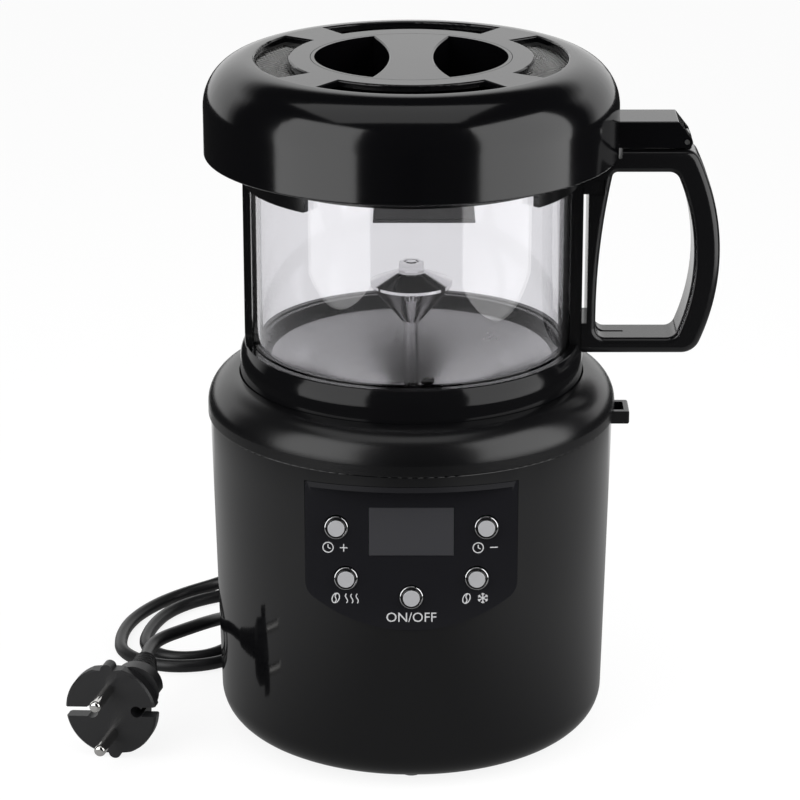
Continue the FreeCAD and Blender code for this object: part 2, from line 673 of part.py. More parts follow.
def display_and_board():
    window = box(-size["window_half"], size["window_half"], size["window_low"],
                 size["window_low"] + size["window_height"],
                 -size["window_set"] - size["window_thickness"], -size["window_set"])
    keep("display_window", panel_place(window))
    module = box(-size["window_half"] + 2, size["window_half"] - 2, size["window_low"] + 2,
                 size["window_low"] + size["window_height"] - 2, board_front,
                 -size["window_set"] - size["window_thickness"])
    keep("display_module", panel_place(module))
    edge, inset = size["panel_half"] - size["board_inset"], size["board_inset"]
    board = box(-edge, edge, size["board_low"], size["panel_height"] - inset,
                board_front - size["board_thickness"], board_front)
    keep("control_board", panel_place(board))
    switches = []
    half = size["switch_half"]
    for _, x, y in BUTTONS:
        case = box(x - half, x + half, y - half, y + half, board_front,
                   board_front + size["switch_height"])
        plunger = cylinder(1.5, 1.0, x=x, y=y, z=board_front + size["switch_height"])
        switches.append(fuse(case, plunger))
    keep("button_switches", panel_place(group(*switches)))


def buttons():
    radius, dome = size["button_radius"], size["button_dome"]
    dome_curve = (radius * radius + dome * dome) / (2 * dome)
    for name, x, y in BUTTONS:
        face = panel_surface(x)
        flange_top = face - size["panel_thickness"] - 0.7
        cap = turned(f"{name}_cap", [
            (0, stem_end), (1.5, stem_end), (1.5, flange_top - BUTTON_FLANGE),
            (radius + BUTTON_FLANGE, flange_top - BUTTON_FLANGE),
            (radius + BUTTON_FLANGE, flange_top), (radius, flange_top),
            (radius, face + 0.4), (0, face + 0.4 + dome, dome_curve, LEFT),
        ])
        placed = group(cap)
        put(placed, x, y)
        keep(name, panel_place(placed))


# ---- base: fan, heater, boards -------------------------------------------------------------------

def fan_and_motor():
    outer, wall = size["fan_wall_radius"], size["fan_wall"]
    keep("fan_housing", turned("fan_shell", [
        (size["fan_outlet"], fan_top - wall), (outer - wall, fan_top - wall),
        (outer - wall, fan_floor), (outer, fan_floor), (outer, fan_top),
        (size["fan_outlet"], fan_top),
    ]))
    ring = tube(outer, outer - size["bracket_ring"], motor_top, fan_floor)
    hub = cylinder(size["bracket_hub"], size["bracket_thickness"], z=motor_top)
    arm = box(0, outer - size["bracket_ring"] / 2, -size["bracket_arm"] / 2, size["bracket_arm"] / 2,
              motor_top, fan_floor)
    hole = cylinder(size["shaft_radius"] + 0.7, 10, z=motor_top - 4)
    keep("motor_bracket", cut(fuse(ring, hub, *around(arm, 3)), hole))
    shaft_low = motor_bottom + size["shaft_start"]
    can = cylinder(size["motor_radius"], size["motor_height"], z=motor_bottom)
    bore = cylinder(size["shaft_radius"] + size["fit_gap"], size["motor_height"],
                    z=shaft_low - 0.5)
    keep("motor", cut(can, bore))
    shaft_top = fan_floor + size["fan_wall_height"] - size["shaft_short"]
    keep("motor_shaft", cylinder(size["shaft_radius"], shaft_top - shaft_low, z=shaft_low))
    hub_low = fan_floor + size["hub_lift"]
    hub_high = shaft_top - 1
    fan_hub = cut(cylinder(size["impeller_hub"], hub_high - hub_low, z=hub_low),
                  cylinder(size["shaft_radius"], hub_high - hub_low + 2, z=hub_low - 1))
    blade = box(size["impeller_hub"] - 1, size["impeller_radius"], -size["blade_width"] / 2,
                size["blade_width"] / 2, -size["blade_thickness"] / 2, size["blade_thickness"] / 2)
    pitched = group(blade)
    pitched.Placement = Placement(Vector(), Rotation(Vector(1, 0, 0), 0))
    pitched.setExpression("Placement.Rotation.Angle", "Sizes.blade_angle")
    put(pitched, z=(hub_low + hub_high) / 2)
    reach = cylinder(size["impeller_radius"], 40, z=fan_floor)
    blades = [common(copy, reach) for copy in around(pitched, size["blade_count"])]
    keep("fan_impeller", fuse(fan_hub, *blades))


def heater():
    outer, wall = size["heater_radius"], size["heater_wall"]
    keep("heater_tube", tube(outer, outer - wall, fan_top, deck_bottom))
    wing_top = fan_top + size["mica_wing"]
    sleeve_outer = outer - wall - 0.2
    keep("mica_sleeve", tube(sleeve_outer, sleeve_outer - 1.4, wing_top + 0.3, deck_bottom - 0.5))
    half, thin = size["mica_half"], size["mica_thickness"] / 2
    former_top = deck_bottom - 4
    wing = sleeve_outer - 0.6
    boards = [box(-half, half, -thin, thin, fan_top, former_top),
              box(-thin, thin, -half, half, fan_top, former_top),
              box(-wing, wing, -thin, thin, fan_top, wing_top),
              box(-thin, thin, -wing, wing, fan_top, wing_top)]
    keep("mica_former", fuse(*boards))
    heater_coil(wing_top)
    cutout = cylinder(size["cutout_radius"], size["cutout_depth"], x=outer + 0.05,
                      z=(fan_top + deck_bottom) / 2, axis="X")
    keep("thermal_cutout", cutout)


def heater_coil(wing_top):
    """The resistance wire, bent round the four edges of the mica former."""
    step = 360.0 / COIL_BENDS
    reach = size["mica_half"] + size["coil_wire"] + size["coil_gap"]
    corner = number_of(reach) / math.cos(math.radians(step / 2))
    low, pitch = number_of(wing_top) + 3, number_of(size["coil_pitch"])
    points = []
    for bend in range(int(number_of(size["coil_turns"])) * COIL_BENDS + 1):
        angle = math.radians(step * (bend + 0.5))
        points.append(Vector(corner * math.cos(angle), corner * math.sin(angle),
                             low + pitch * bend / COIL_BENDS))
    wire, _, _ = bent_wire(points)
    section = Part.Wire(Part.makeCircle(number_of(size["coil_wire"]), points[0],
                                        points[1] - points[0]))
    coil = doc.addObject("Part::Feature", "coil")
    coil.Shape = wire.makePipeShell([section], True, False)
    keep("heater_coil", coil)


COIL_BENDS = 8


def boards():
    face = post_circle * sine(Size(45, "45")) - size["post_radius"] - 0.2
    half, low = size["power_board_half"], size["power_board_low"]
    high = low + size["power_board_height"]
    keep("power_board", box(-half, half, face - size["board_thickness"], face, low, high))
    parts_low = low + size["board_margin"]
    first = 2 * size["board_margin"] - half
    second = first + size["transformer_across"] + size["part_gap"]
    third = second + size["relay_across"] + size["part_gap"] + size["capacitor_radius"]
    transformer = box(first, first + size["transformer_across"], face,
                      face + size["transformer_deep"], parts_low, parts_low + size["transformer_tall"])
    relay = box(second, second + size["relay_across"], face, face + size["relay_deep"],
                parts_low, parts_low + size["relay_tall"])
    capacitor = cylinder(size["capacitor_radius"], size["capacitor_deep"], x=third, y=face,
                         z=parts_low + size["capacitor_radius"], axis="Y")
    keep("board_parts", group(transformer, relay, capacitor))
    reach = well_radius - size["interlock_half"] - 1
    keep("interlock_switch", box(-reach - size["interlock_half"], size["interlock_half"] - reach,
                                 -size["interlock_deep"], size["interlock_deep"],
                                 deck_bottom - size["interlock_tall"], deck_bottom))


# ---- chamber --------------------------------------------------------------------------------------

ring_shoulder = ring_top - band_top
ring_curve_radius = (size["ring_curve"] * size["ring_curve"] + ring_shoulder * ring_shoulder) \
    / (2 * size["ring_curve"])


def ring_way(gap):
    """The room that the ring's curved wall takes up, with a gap all round."""
    return turned("ring_room", [
        (0, ring_bottom), (band_radius + gap, ring_bottom), (band_radius + gap, band_top),
        (lip_radius + gap, ring_top, ring_curve_radius, LEFT), (0, ring_top),
    ])


def chamber_ring():
    band, lip = band_radius, lip_radius
    ledge_low = bowl_seat - size["ledge_thickness"]
    skirt_bore = band - size["ring_skirt_wall"]
    ring = turned("ring_body", [
        (skirt_bore, ring_bottom), (band, ring_bottom), (band, band_top),
        (lip, ring_top, ring_curve_radius, LEFT),
        (groove_outer, ring_top), (groove_outer, groove_floor),
        (groove_inner, groove_floor), (groove_inner, ring_top),
        (ring_bore, ring_top), (ring_bore, bowl_seat),
        (ledge_bore, bowl_seat), (ledge_bore, ledge_low), (skirt_bore, ledge_low),
    ])

    def soft_edge(edge):
        return circle_at(edge, lip, ring_top) or circle_at(edge, band, ring_bottom)

    keep("chamber_ring", rounded(ring, 0.6, soft_edge))
    keep("glass_cylinder", rounded(
        tube(glass_radius, glass_radius - size["glass_wall"], groove_floor, glass_top),
        0.5, lambda edge: circle_at(edge, None, glass_top)))


def rails():
    bore, outer = groove_outer, upper_radius
    strip = tube(outer, bore, ring_top, segment_bottom)
    half, flare = size["left_rail_half"], size["rail_flare"]
    foot_half = half + flare
    middle = box(-outer - 1, -bore + 6, -half, half, ring_top - 1, segment_bottom + 1)
    foot = box(-outer - 1, -bore + 6, -foot_half, foot_half, ring_top - 1, ring_top + flare)
    scoops = [cylinder(flare, 12, x=-outer - 3, y=side * foot_half, z=ring_top + flare, axis="X")
              for side in (-1, 1)]
    keep("left_rail", common(strip, fuse(middle, cut(foot, *scoops))))
    low = handle_low
    wide = size["right_rail_half"]
    slab = box(bore - 4, rail_face, -wide, wide, low, bar_bottom + 5.8)
    glass_way = cylinder(bore, bar_top - low, z=low - 1)
    segment_way = cylinder(outer + fit, 30, z=segment_bottom)
    screw_holes = [cylinder(size["handle_screw"] + fit, 12, x=bore - 3, z=height, axis="X")
                   for height in handle_screw_heights()]
    keep("right_rail", cut(slab, glass_way, ring_way(fit), segment_way, *screw_holes))


fit = size["fit_gap"]


def handle_screw_heights():
    return [handle_low + size["slit_low"] - 1.4, segment_bottom - 2.0]


handle_low = ring_top - size["handle_bottom"]
slit_top = ring_top + size["slit_high"] - 2.0


def upper_ring():
    outer = upper_radius
    cap = turned("upper_cap", [
        (groove_outer, upper_bottom), (outer, upper_bottom), (outer, upper_top),
        (upper_bore, upper_top), (upper_bore, glass_top), (groove_outer, glass_top),
    ])
    left = sector(outer, groove_outer, segment_bottom, upper_bottom + 1, Size(180, "180"),
                  Size(104, "104"))
    right = sector(outer, groove_outer, segment_bottom, upper_bottom + 1, Size(0, "0"),
                   Size(86, "86"))
    keep("upper_ring", fuse(cap, left, right))


def bowl_and_rod():
    sheet, bore = size["bowl_sheet"], size["rod_radius"] + size["fit_gap"]
    rim_radius = ring_bore - size["loose_gap"]
    knee = rim_radius - size["bowl_flange"]
    bowl = turned("bowl_shell", [
        (bore, bowl_floor_top - sheet), (size["bowl_floor"] + 0.3, bowl_floor_top - sheet),
        (knee + 0.3, bowl_seat), (rim_radius, bowl_seat), (rim_radius, bowl_rim),
        (knee, bowl_rim), (size["bowl_floor"], bowl_floor_top), (bore, bowl_floor_top),
    ])
    hole = cylinder(size["air_hole"], 30, z=bowl_floor_top - 12)
    holes = around(hole, size["air_count"], size["air_ring"])
    vent = cylinder(size["air_vent"], 30, z=bowl_floor_top - 12)
    holes += around(vent, size["air_vent_count"], size["air_vent_ring"], -25)
    keep("roasting_bowl", cut(bowl, *holes))
    foot_top = bowl_floor_top - sheet
    rod_top = bowl_floor_top + size["rod_reach"]
    keep("centre_rod", turned("rod", [
        (0, foot_top - 2), (size["rod_foot"], foot_top - 2), (size["rod_foot"], foot_top),
        (size["rod_radius"], foot_top), (size["rod_radius"], rod_top - 1),
        (size["rod_radius"] - 1, rod_top), (0, rod_top),
    ]))
    tip = bowl_floor_top + size["cone_rise"]
    brim = tip + size["cone_height"]
    keep("deflector_cone", turned("cone", [
        (bore, tip), (bore + 0.8, tip), (size["cone_radius"], brim),
        (size["cone_radius"], brim + 1.2), (size["nut_radius"] + 1, brim + size["cone_cap"]),
        (bore, brim + size["cone_cap"]),
    ]))
    nut = doc.addObject("Part::Prism", "nut")
    nut.Polygon = 6
    bind(nut, "Circumradius", size["nut_radius"])
    bind(nut, "Height", size["nut_height"])
    put(nut, z=brim + size["cone_cap"])
    keep("rod_nut", cut(nut, cylinder(bore, 12, z=brim + size["cone_cap"] - 1)))


# ---- handle and hinge ---------------------------------------------------------------------------

def handle_loop():
    """The D-shaped grip, drawn with sharp corners that are rounded afterwards."""
    face, reach = rail_face, handle_reach
    low, top = handle_low, bar_top
    slit_low, slit = low + size["slit_low"] + 3, face + size["slit_gap"]
    skirt_side = lid_radius + 0.9
    outer = [
        (face, low), (reach - 9.1, low), (reach - 10.6, top, size["grip_bow"], LEFT),
        (skirt_side, top), (skirt_side, skirt_bottom - 0.6), (face, skirt_bottom - 0.6),
        (face, slit_top), (slit, slit_top), (slit, slit_low), (face, slit_low),
    ]
    inner_reach = reach - size["grip_thickness"]
    floor_level = low + size["bottom_bar"]
    leg, shift, rise = face + size["leg_width"], size["leg_flare"], size["leg_flare_height"]
    flare = (shift * shift + rise * rise) / (2 * shift)
    inner = [
        (leg, floor_level), (inner_reach - 7.2, floor_level),
        (inner_reach - 7.7, bar_bottom, size["grip_bow"] - size["grip_thickness"], LEFT),
        (leg + shift, bar_bottom), (leg, bar_bottom - rise, flare, LEFT),
    ]
    half = size["handle_width"] / 2
    loop = cut(sawn(outer, half), sawn(inner, half + 1))

    def corner(x, z):
        def near(edge):
            middle = edge.CenterOfMass
            upright = edge.BoundBox.YLength > number_of(half)
            return upright and math.hypot(middle.x - number_of(x), middle.z - number_of(z)) < 0.1
        return near

    corners = [(reach - 9.1, low, 8), (reach - 10.6, top, 7), (leg, floor_level, 4.2),
               (inner_reach - 7.2, floor_level, 4.5), (inner_reach - 7.7, bar_bottom, 4.5),
               (leg + shift, bar_bottom, 2.2)]
    for x, z, radius in corners:
        loop = rounded(loop, radius, corner(x, z))

    margin = 0.01

    def flat_rim(bounds):
        return bounds.YLength < 0.001 and abs(abs(bounds.YMin) - number_of(half)) < 0.001

    def around_hole(bounds, more):
        across = bounds.XMin > number_of(leg) - margin and \
            bounds.XMax < number_of(inner_reach) + 1 + more
        along = bounds.ZMin > number_of(floor_level) - margin - more and \
            bounds.ZMax < number_of(bar_bottom) + margin + more
        return across and along

    def hole_rim(edge):
        return flat_rim(edge.BoundBox) and around_hole(edge.BoundBox, 0)

    def outer_rim(edge):
        bounds = edge.BoundBox
        beyond = bounds.XMin > number_of(face) + 4.2 and bounds.XMax > number_of(skirt_side) + margin
        low_edge = bounds.ZMax < number_of(low) + margin
        hole = around_hole(bounds, number_of(size["hole_round"]) + 0.1)
        return flat_rim(bounds) and (beyond or low_edge) and not hole

    return rounded(rounded(loop, size["hole_round"], hole_rim), size["handle_round"], outer_rim)


def handle():
    face, half = rail_face, size["handle_width"] / 2
    softened = handle_loop()
    pivot_x = pivot_reach
    knuckle = fuse(
        cylinder(size["barrel_radius"], size["knuckle_half"] * 2, x=pivot_x,
                 y=-size["knuckle_half"], z=pivot_height, axis="Y"),
        box(pivot_x - size["barrel_radius"], pivot_x + size["barrel_radius"],
            -size["knuckle_half"], size["knuckle_half"], bar_top - 2.5, pivot_height))
    pad = box(pivot_x - 22.5, pivot_x - 16.2, -half + 2, half - 2, bar_top - 1,
              bar_top + size["arm_gap"] - 0.3)
    bore = cylinder(size["pin_radius"], size["handle_width"], x=pivot_x, y=-half,
                    z=pivot_height, axis="Y")
    holes = []
    for height in handle_screw_heights():
        holes.append(cylinder(size["handle_screw"] + fit, 30, x=face - 5, z=height, axis="X"))
        holes.append(cylinder(size["handle_head"] + fit, 14, x=face + size["handle_well"], z=height,
                              axis="X"))
    mark = box(face + 2.2, face + 8.4, -half - 1, 0.7 - half, segment_bottom - 5,
               segment_bottom + 1.5)
    solid = fuse(softened, knuckle, pad)
    keep("handle", cut(solid, bore, mark, ring_way(size["ring_clear"]), *holes))
    screws = []
    for height in handle_screw_heights():
        head = cylinder(size["handle_head"], size["handle_head_height"],
                        x=face + size["handle_well"], z=height, axis="X")
        shank = cylinder(size["handle_screw"], size["handle_shank"],
                         x=face + size["handle_well"] - size["handle_shank"], z=height, axis="X")
        screws.append(fuse(head, shank))
    keep("handle_screws", group(*screws))
    keep("hinge_pin", cylinder(size["pin_radius"], size["handle_width"] - 0.1, x=pivot_x,
                               y=-half + 0.05, z=pivot_height, axis="Y"))


# ---- lid ------------------------------------------------------------------------------------------

def hinge_arm():
    """The arm over the handle: it ends in a barrel with a slot for the handle's knuckle."""
    half = size["handle_width"] / 2
    pivot_x, barrel = pivot_reach, size["barrel_radius"]
    low, high = bar_top + size["arm_gap"], bar_top + size["arm_gap"] + size["arm_height"]
    root_x = lid_radius - size["lid_wall"]
    arm = sawn([(root_x, low), (pivot_x, low), (pivot_x + barrel, pivot_height, barrel, LEFT),
                (pivot_x + barrel - 0.3, pivot_height + 1.0), (pivot_x - size["arm_top"], high),
                (root_x, high)], half)

    def rim(edge):
        bounds = edge.BoundBox
        flat = bounds.YLength < 0.001 and abs(abs(bounds.YMin) - number_of(half)) < 0.001
        across = bounds.XLength < 0.001 and bounds.ZLength < 0.001 \
            and abs(bounds.XMin - number_of(pivot_x - size["arm_top"])) < 0.01
        top = bounds.ZMin > number_of(pivot_height) + 1 and bounds.XMin > number_of(root_x) - 1 \
            and bounds.XMax > number_of(root_x) + 1
        return (flat and top) or across

    soft_arm = rounded(arm, 0.8, rim)
    slot = cylinder(barrel + 2.1, size["knuckle_half"] * 2 + 0.6, x=pivot_x,
                    y=-size["knuckle_half"] - 0.3, z=pivot_height, axis="Y")
    bore = cylinder(size["pin_radius"] + fit, size["handle_width"] + 2, x=pivot_x, y=-half - 1,
                    z=pivot_height, axis="Y")
    lid_side = cylinder(lid_radius + fit, size["lid_height"], z=skirt_bottom)
    keep("hinge_arm", cut(soft_arm, slot, bore, lid_side))


def lid_cover():
    outer, wall, turn = lid_radius, size["lid_wall"], size["lid_round"]
    hole = size["knob_radius"] + size["knob_gap"]
    shell = turned("lid_shell", [
        (outer - wall, skirt_bottom), (outer, skirt_bottom), (outer, lid_top - turn),
        (outer - turn, lid_top, turn, LEFT), (hole, lid_top), (hole, lid_ceiling),
        (outer - turn, lid_ceiling), (outer - wall, lid_top - turn, turn - wall, RIGHT),
    ])
    vents = [sector(vent_outer, vent_inner, lid_ceiling - 1, lid_top + 1,
                    Size(90 * step, f"{90 * step}"), size["vent_angle"]) for step in range(4)]
    pierced = cut(shell, *vents)

    def vent_edge(edge):
        bounds = edge.BoundBox
        on_top = bounds.ZLength < 0.001 and abs(bounds.ZMin - number_of(lid_top)) < 0.001
        middle = edge.valueAt((edge.FirstParameter + edge.LastParameter) / 2)
        far = math.hypot(middle.x, middle.y)
        rim = number_of(vent_inner) - 0.1 < far < number_of(vent_outer) + 0.1
        return (on_top and rim) or circle_at(edge, outer, skirt_bottom)

    keep("lid_cover", rounded(pierced, 0.8, vent_edge))
    low = pan_base + size["pan_sheet"]
    post = cut(cylinder(size["lid_post_radius"], lid_ceiling - low, z=low),
               cylinder(size["lid_screw"] + fit, 12, z=pan_base))
    keep("lid_spacers", group(*around(post, 4, lid_post_circle, 45)))


def under_lid():
    outer, inner = pan_radius, pan_radius - size["pan_wall"]
    mesh_reach = vent_outer + size["mesh_lap"]
    dip, floor_top = upper_top - size["pan_dip"], pan_base + size["pan_sheet"]
    dish = turned("pan_body", [
        (0, pan_base), (inner, pan_base), (inner, dip), (outer, dip), (outer, pan_base),
        (pan_flange, pan_base), (pan_flange, floor_top), (outer, floor_top),
        (outer, pan_top), (inner, pan_top), (inner, floor_top), (0, floor_top),
    ])
    flue_x, top_across = size["flue_offset"], size["flue_across"] - size["flue_flare"]
    top_deep, wall = size["flue_deep"] - size["flue_flare"], size["flue_wall"]
    mouth = box(flue_x - top_across / 2 + wall, flue_x + top_across / 2 - wall,
                -top_deep / 2 + wall, top_deep / 2 - wall, pan_base - 1, floor_top + 1)
    drills = around(cylinder(size["lid_screw"] + fit, 12, z=pan_base - 2), 4, lid_post_circle, 45)
    keep("chaff_pan", cut(dish, mouth, *drills))
    flue_low = pan_base - size["flue_length"]
    duct = cut(wedge(0, flue_low, pan_base), wedge(wall, flue_low - 0.01, pan_base + 0.01))
    lip = size["flue_lip"]
    across, deep = size["flue_across"] / 2, size["flue_deep"] / 2
    brim = cut(box(flue_x - across - lip, flue_x + across + lip, -deep - lip, deep + lip,
                   flue_low, flue_low + 1.2),
               box(flue_x - across + wall, flue_x + across - wall, -deep + wall, deep - wall,
                   flue_low - 1, flue_low + 3))
    keep("flue_box", fuse(duct, brim))
    keep("lid_seal", tube(pan_flange - 0.5, upper_bore + 1.6,
                          upper_top + 0.1, pan_base))
    screens = [sector(mesh_reach, vent_inner - 2, pan_top,
                      pan_top + size["mesh_thickness"], Size(90 * step, f"{90 * step}"),
                      size["vent_angle"] + 5) for step in range(4)]
    keep("mesh_screens", group(*screens))
    head = cylinder(size["lid_screw_head"], size["lid_screw_head_height"],
                    z=pan_base - size["lid_screw_head_height"])
    shank = cylinder(size["lid_screw"], size["lid_screw_length"], z=pan_base - 0.01)
    keep("lid_screws", group(*around(fuse(head, shank), 4, lid_post_circle, 45)))


def wedge(inset, low, high):
    """A duct that widens downwards, drawn solid, thinner by an inset all round."""
    thing = doc.addObject("Part::Wedge", "duct")
    across, deep = size["flue_across"] / 2 - inset, size["flue_deep"] / 2 - inset
    flare = size["flue_flare"] / 2
    for name, wanted in (("Xmin", -across), ("Xmax", across), ("Zmin", -deep), ("Zmax", deep),
                         ("X2min", flare - across), ("X2max", across - flare),
                         ("Z2min", flare - deep), ("Z2max", deep - flare),
                         ("Ymin", 0), ("Ymax", high - low)):
        bind(thing, name, wanted)
    return put(thing, x=size["flue_offset"], z=low, turn=(Vector(1, 0, 0), 90))


def grip_knob():
    radius, wall = size["knob_radius"], size["knob_wall"]
    low = lid_top - size["knob_depth"]
    floor_top = low + size["knob_floor"]
    flange_top = lid_ceiling - 0.3
    knob_flange = radius + size["knob_rim"]
    cup = turned("knob_cup", [
        (0, low), (radius, low), (radius, flange_top - 2.2), (knob_flange, flange_top - 2.2),
        (knob_flange, flange_top), (radius, flange_top), (radius, lid_top),
        (radius - wall, lid_top), (radius - wall, floor_top), (0, floor_top),
    ])
    curve, waist = size["grip_curve"], size["grip_waist"]
    block = cylinder(radius - 0.2, lid_top - floor_top + 1, z=floor_top - 1)
    scoops = [cylinder(curve, size["knob_depth"] + 4, x=side * (curve + waist), z=low - 2)
              for side in (-1, 1)]
    bar = cut(block, *scoops)
    knob = fuse(cup, bar)

    def top_edge(edge):
        bounds = edge.BoundBox
        on_top = bounds.ZLength < 0.001 and abs(bounds.ZMin - number_of(lid_top)) < 0.001
        curve_of = edge.Curve
        grip_side = isinstance(curve_of, Part.Circle) \
            and abs(curve_of.Radius - number_of(curve)) < 0.01
        return on_top and grip_side

    keep("grip_knob", rounded(knob, 1.0, top_edge))


# ---- cord and plug --------------------------------------------------------------------------------

CORD_FLOOR = 2.9
CORD_ROUTE = [
    (-61.97, 107.35, 20.0), (-73.0, 119.5, 14.0), (-87.5, 125.5, 5.5), (-103.5, 119.5, CORD_FLOOR),
    (-115.5, 106.0, CORD_FLOOR), (-124.5, 89.0, CORD_FLOOR), (-128.0, 70.0, CORD_FLOOR),
    (-126.0, 51.0, CORD_FLOOR), (-107.8, 36.4, CORD_FLOOR), (-83.5, 39.5, CORD_FLOOR),
    (-70.5, 56.5, CORD_FLOOR), (-53.0, 73.0, CORD_FLOOR), (-31.0, 85.0, CORD_FLOOR),
    (-6.0, 90.8, CORD_FLOOR), (24.4, 91.0, CORD_FLOOR), (42.0, 108.6, CORD_FLOOR),
    (42.0, 133.4, CORD_FLOOR), (24.4, 151.0, CORD_FLOOR), (-3.0, 150.0, CORD_FLOOR),
    (-29.0, 145.0, CORD_FLOOR), (-53.0, 135.5, CORD_FLOOR), (-74.0, 122.0, CORD_FLOOR),
    (-95.0, 113.0, CORD_FLOOR), (-109.0, 98.5, CORD_FLOOR), (-116.0, 78.0, CORD_FLOOR),
    (-117.0, 58.0, CORD_FLOOR), (-105.0, 46.0, CORD_FLOOR), (-87.0, 48.0, CORD_FLOOR),
    (-74.5, 65.5, CORD_FLOOR), (-56.0, 83.0, CORD_FLOOR), (-33.0, 95.5, CORD_FLOOR),
    (-2.0, 101.2, CORD_FLOOR), (20.3, 101.0, CORD_FLOOR), (32.0, 112.7, CORD_FLOOR),
    (32.0, 129.3, CORD_FLOOR), (20.3, 141.0, CORD_FLOOR), (-1.0, 140.8, CORD_FLOOR),
    (-28.0, 134.0, CORD_FLOOR), (-50.0, 121.0, CORD_FLOOR), (-67.5, 104.5, CORD_FLOOR),
    (-72.0, 90.0, 3.2), (-75.5, 77.0, 7.5), (-77.0, 61.0, 15.0), (-79.5, 45.5, 22.5),
    (-86.5, 31.6, 26.3), (-96.4, 20.4, 27.2), (-105.9, 10.2, 27.6),
]
CORD_LAST_RUN = 11.0
PLUG_FACE = Vector(-121.8, -47.9, 0)
PLUG_BACKWARD = Vector(0.21, 0.977, -0.02).normalize()
PLUG_ROLL = 4.5
NECK_END = Vector(4.5, 7.7, -37.5)
NECK_WAY = Vector(-0.205, 0.018, -0.979).normalize()


def plug_place():
    """The plug's own frame: x to the right, y up, z out of its face."""
    upright = (Vector(0, 0, 1) - PLUG_BACKWARD * PLUG_BACKWARD.z).normalize()
    right = PLUG_BACKWARD.cross(upright)
    lean = math.radians(PLUG_ROLL)
    up = upright * math.cos(lean) - right * math.sin(lean)
    side = right * math.cos(lean) + upright * math.sin(lean)
    turn = Rotation(side, up, -PLUG_BACKWARD, "ZXY")
    lowest = number_of(size["plug_radius"]) + number_of(size["plug_bump"])
    centre = Vector(PLUG_FACE.x, PLUG_FACE.y, lowest + 0.1)
    return Placement(centre, turn)


def plug_face_disc():
    """The round face of the plug: two flats, two bumps and a slot at each side."""
    radius, thick, flat = size["plug_radius"], size["plug_face"], size["plug_flat"]
    disc = turned("plug_disc", [
        (0, -thick), (radius - 0.8, -thick), (radius, 0.8 - thick), (radius, -0.8),
        (radius - 0.8, 0), (0, 0),
    ])
    strip = box(-radius - 1, radius + 1, -flat, flat, -thick - 1, 1)
    bump_up = radius - 2.6 + size["plug_bump"]
    bumps = [cylinder(2.6, thick, y=side * bump_up, z=-thick) for side in (-1, 1)]
    return fuse(common(disc, strip), *bumps)


def plug_back():
    """What the face stands on: a round puck, and a lobe to one side with the cord's neck."""
    thick, back = size["plug_face"], size["plug_back"]
    puck, lobe = size["plug_puck"], size["plug_lobe"]
    middle = turned("plug_puck", [
        (0, -back), (puck - 4, -back), (puck, 4.5 - back), (puck, 0.5 - thick),
        (0, 0.5 - thick),
    ])
    bulge = turned("plug_lobe", [
        (0, 1.5 - back), (lobe - 3, 1.5 - back), (lobe, 5.5 - back), (lobe, 1.0 - thick),
        (0, 1.0 - thick),
    ])
    aside = group(bulge)
    put(aside, size["plug_lobe_across"], size["plug_lobe_up"])
    neck = doc.addObject("Part::Cone", "neck")
    bind(neck, "Radius1", size["plug_neck_root"])
    bind(neck, "Radius2", size["plug_neck"])
    bind(neck, "Height", size["plug_neck_length"])
    start = NECK_END - NECK_WAY * number_of(size["plug_neck_length"])
    neck.Placement = Placement(start, Rotation(Vector(0, 0, 1), NECK_WAY))
    return fuse(middle, aside, neck)


def plug():
    radius, half = size["plug_radius"], size["plug_slot"]
    notch, thick, deep = size["plug_notch"], size["plug_face"], size["plug_back"] + 3
    left_end, right_end = 12 - radius, radius - 6
    slots = [box(-radius - 1, left_end, -half, half, -thick - 1, 1),
             box(right_end, radius + 1, -half, half, -thick - 1, 1),
             box(-radius - 1, left_end, -notch, notch, -deep, -thick),
             box(right_end, radius + 1, -notch, notch, -deep, -thick),
             cylinder(size["plug_slot_eye"], thick + 2, x=left_end - half / 2, z=-thick - 1),
             cylinder(size["plug_earth"], 12, x=size["plug_earth_across"], z=-11)]
    drills = [cylinder(size["plug_pin_root"], 8, y=side * size["plug_pin_spacing"] / 2, z=-7)
              for side in (-1, 1)]
    placed = group(cut(fuse(plug_face_disc(), plug_back()), *slots, *drills))
    placed.Placement = plug_place()
    keep("plug_body", placed)
    pins = []
    for side in (-1, 1):
        across = side * size["plug_pin_spacing"] / 2
        pin_body = cylinder(size["plug_pin_radius"], size["plug_pin_length"], y=across)
        rounded_pin = rounded(pin_body, 1.6, lambda edge: edge.BoundBox.ZMin > 10
                              and edge.BoundBox.ZLength < 0.01)
        pins.append(fuse(rounded_pin, cylinder(size["plug_pin_root"], 7.5, y=across, z=-7)))
    pair = group(*pins)
    pair.Placement = plug_place()
    keep("plug_pins", pair)


def gland():
    radius, start, surface = size["gland_radius"], gland_start, gland_surface
    stem = cylinder(radius, surface - start, z=0)
    nut = cylinder(size["gland_flange"], size["gland_nut"])
    flange = cylinder(size["gland_flange"], size["gland_lip"], z=surface - start)
    keep("cord_gland", along_gland(fuse(stem, nut, flange), start))
    relief = doc.addObject("Part::Cone", "relief")
    bind(relief, "Radius1", size["relief_radius"])
    bind(relief, "Radius2", size["relief_tip"])
    bind(relief, "Height", size["relief_length"])
    keep("strain_relief", along_gland(relief, surface + size["gland_lip"]))
    return surface + size["gland_lip"] + size["relief_length"]


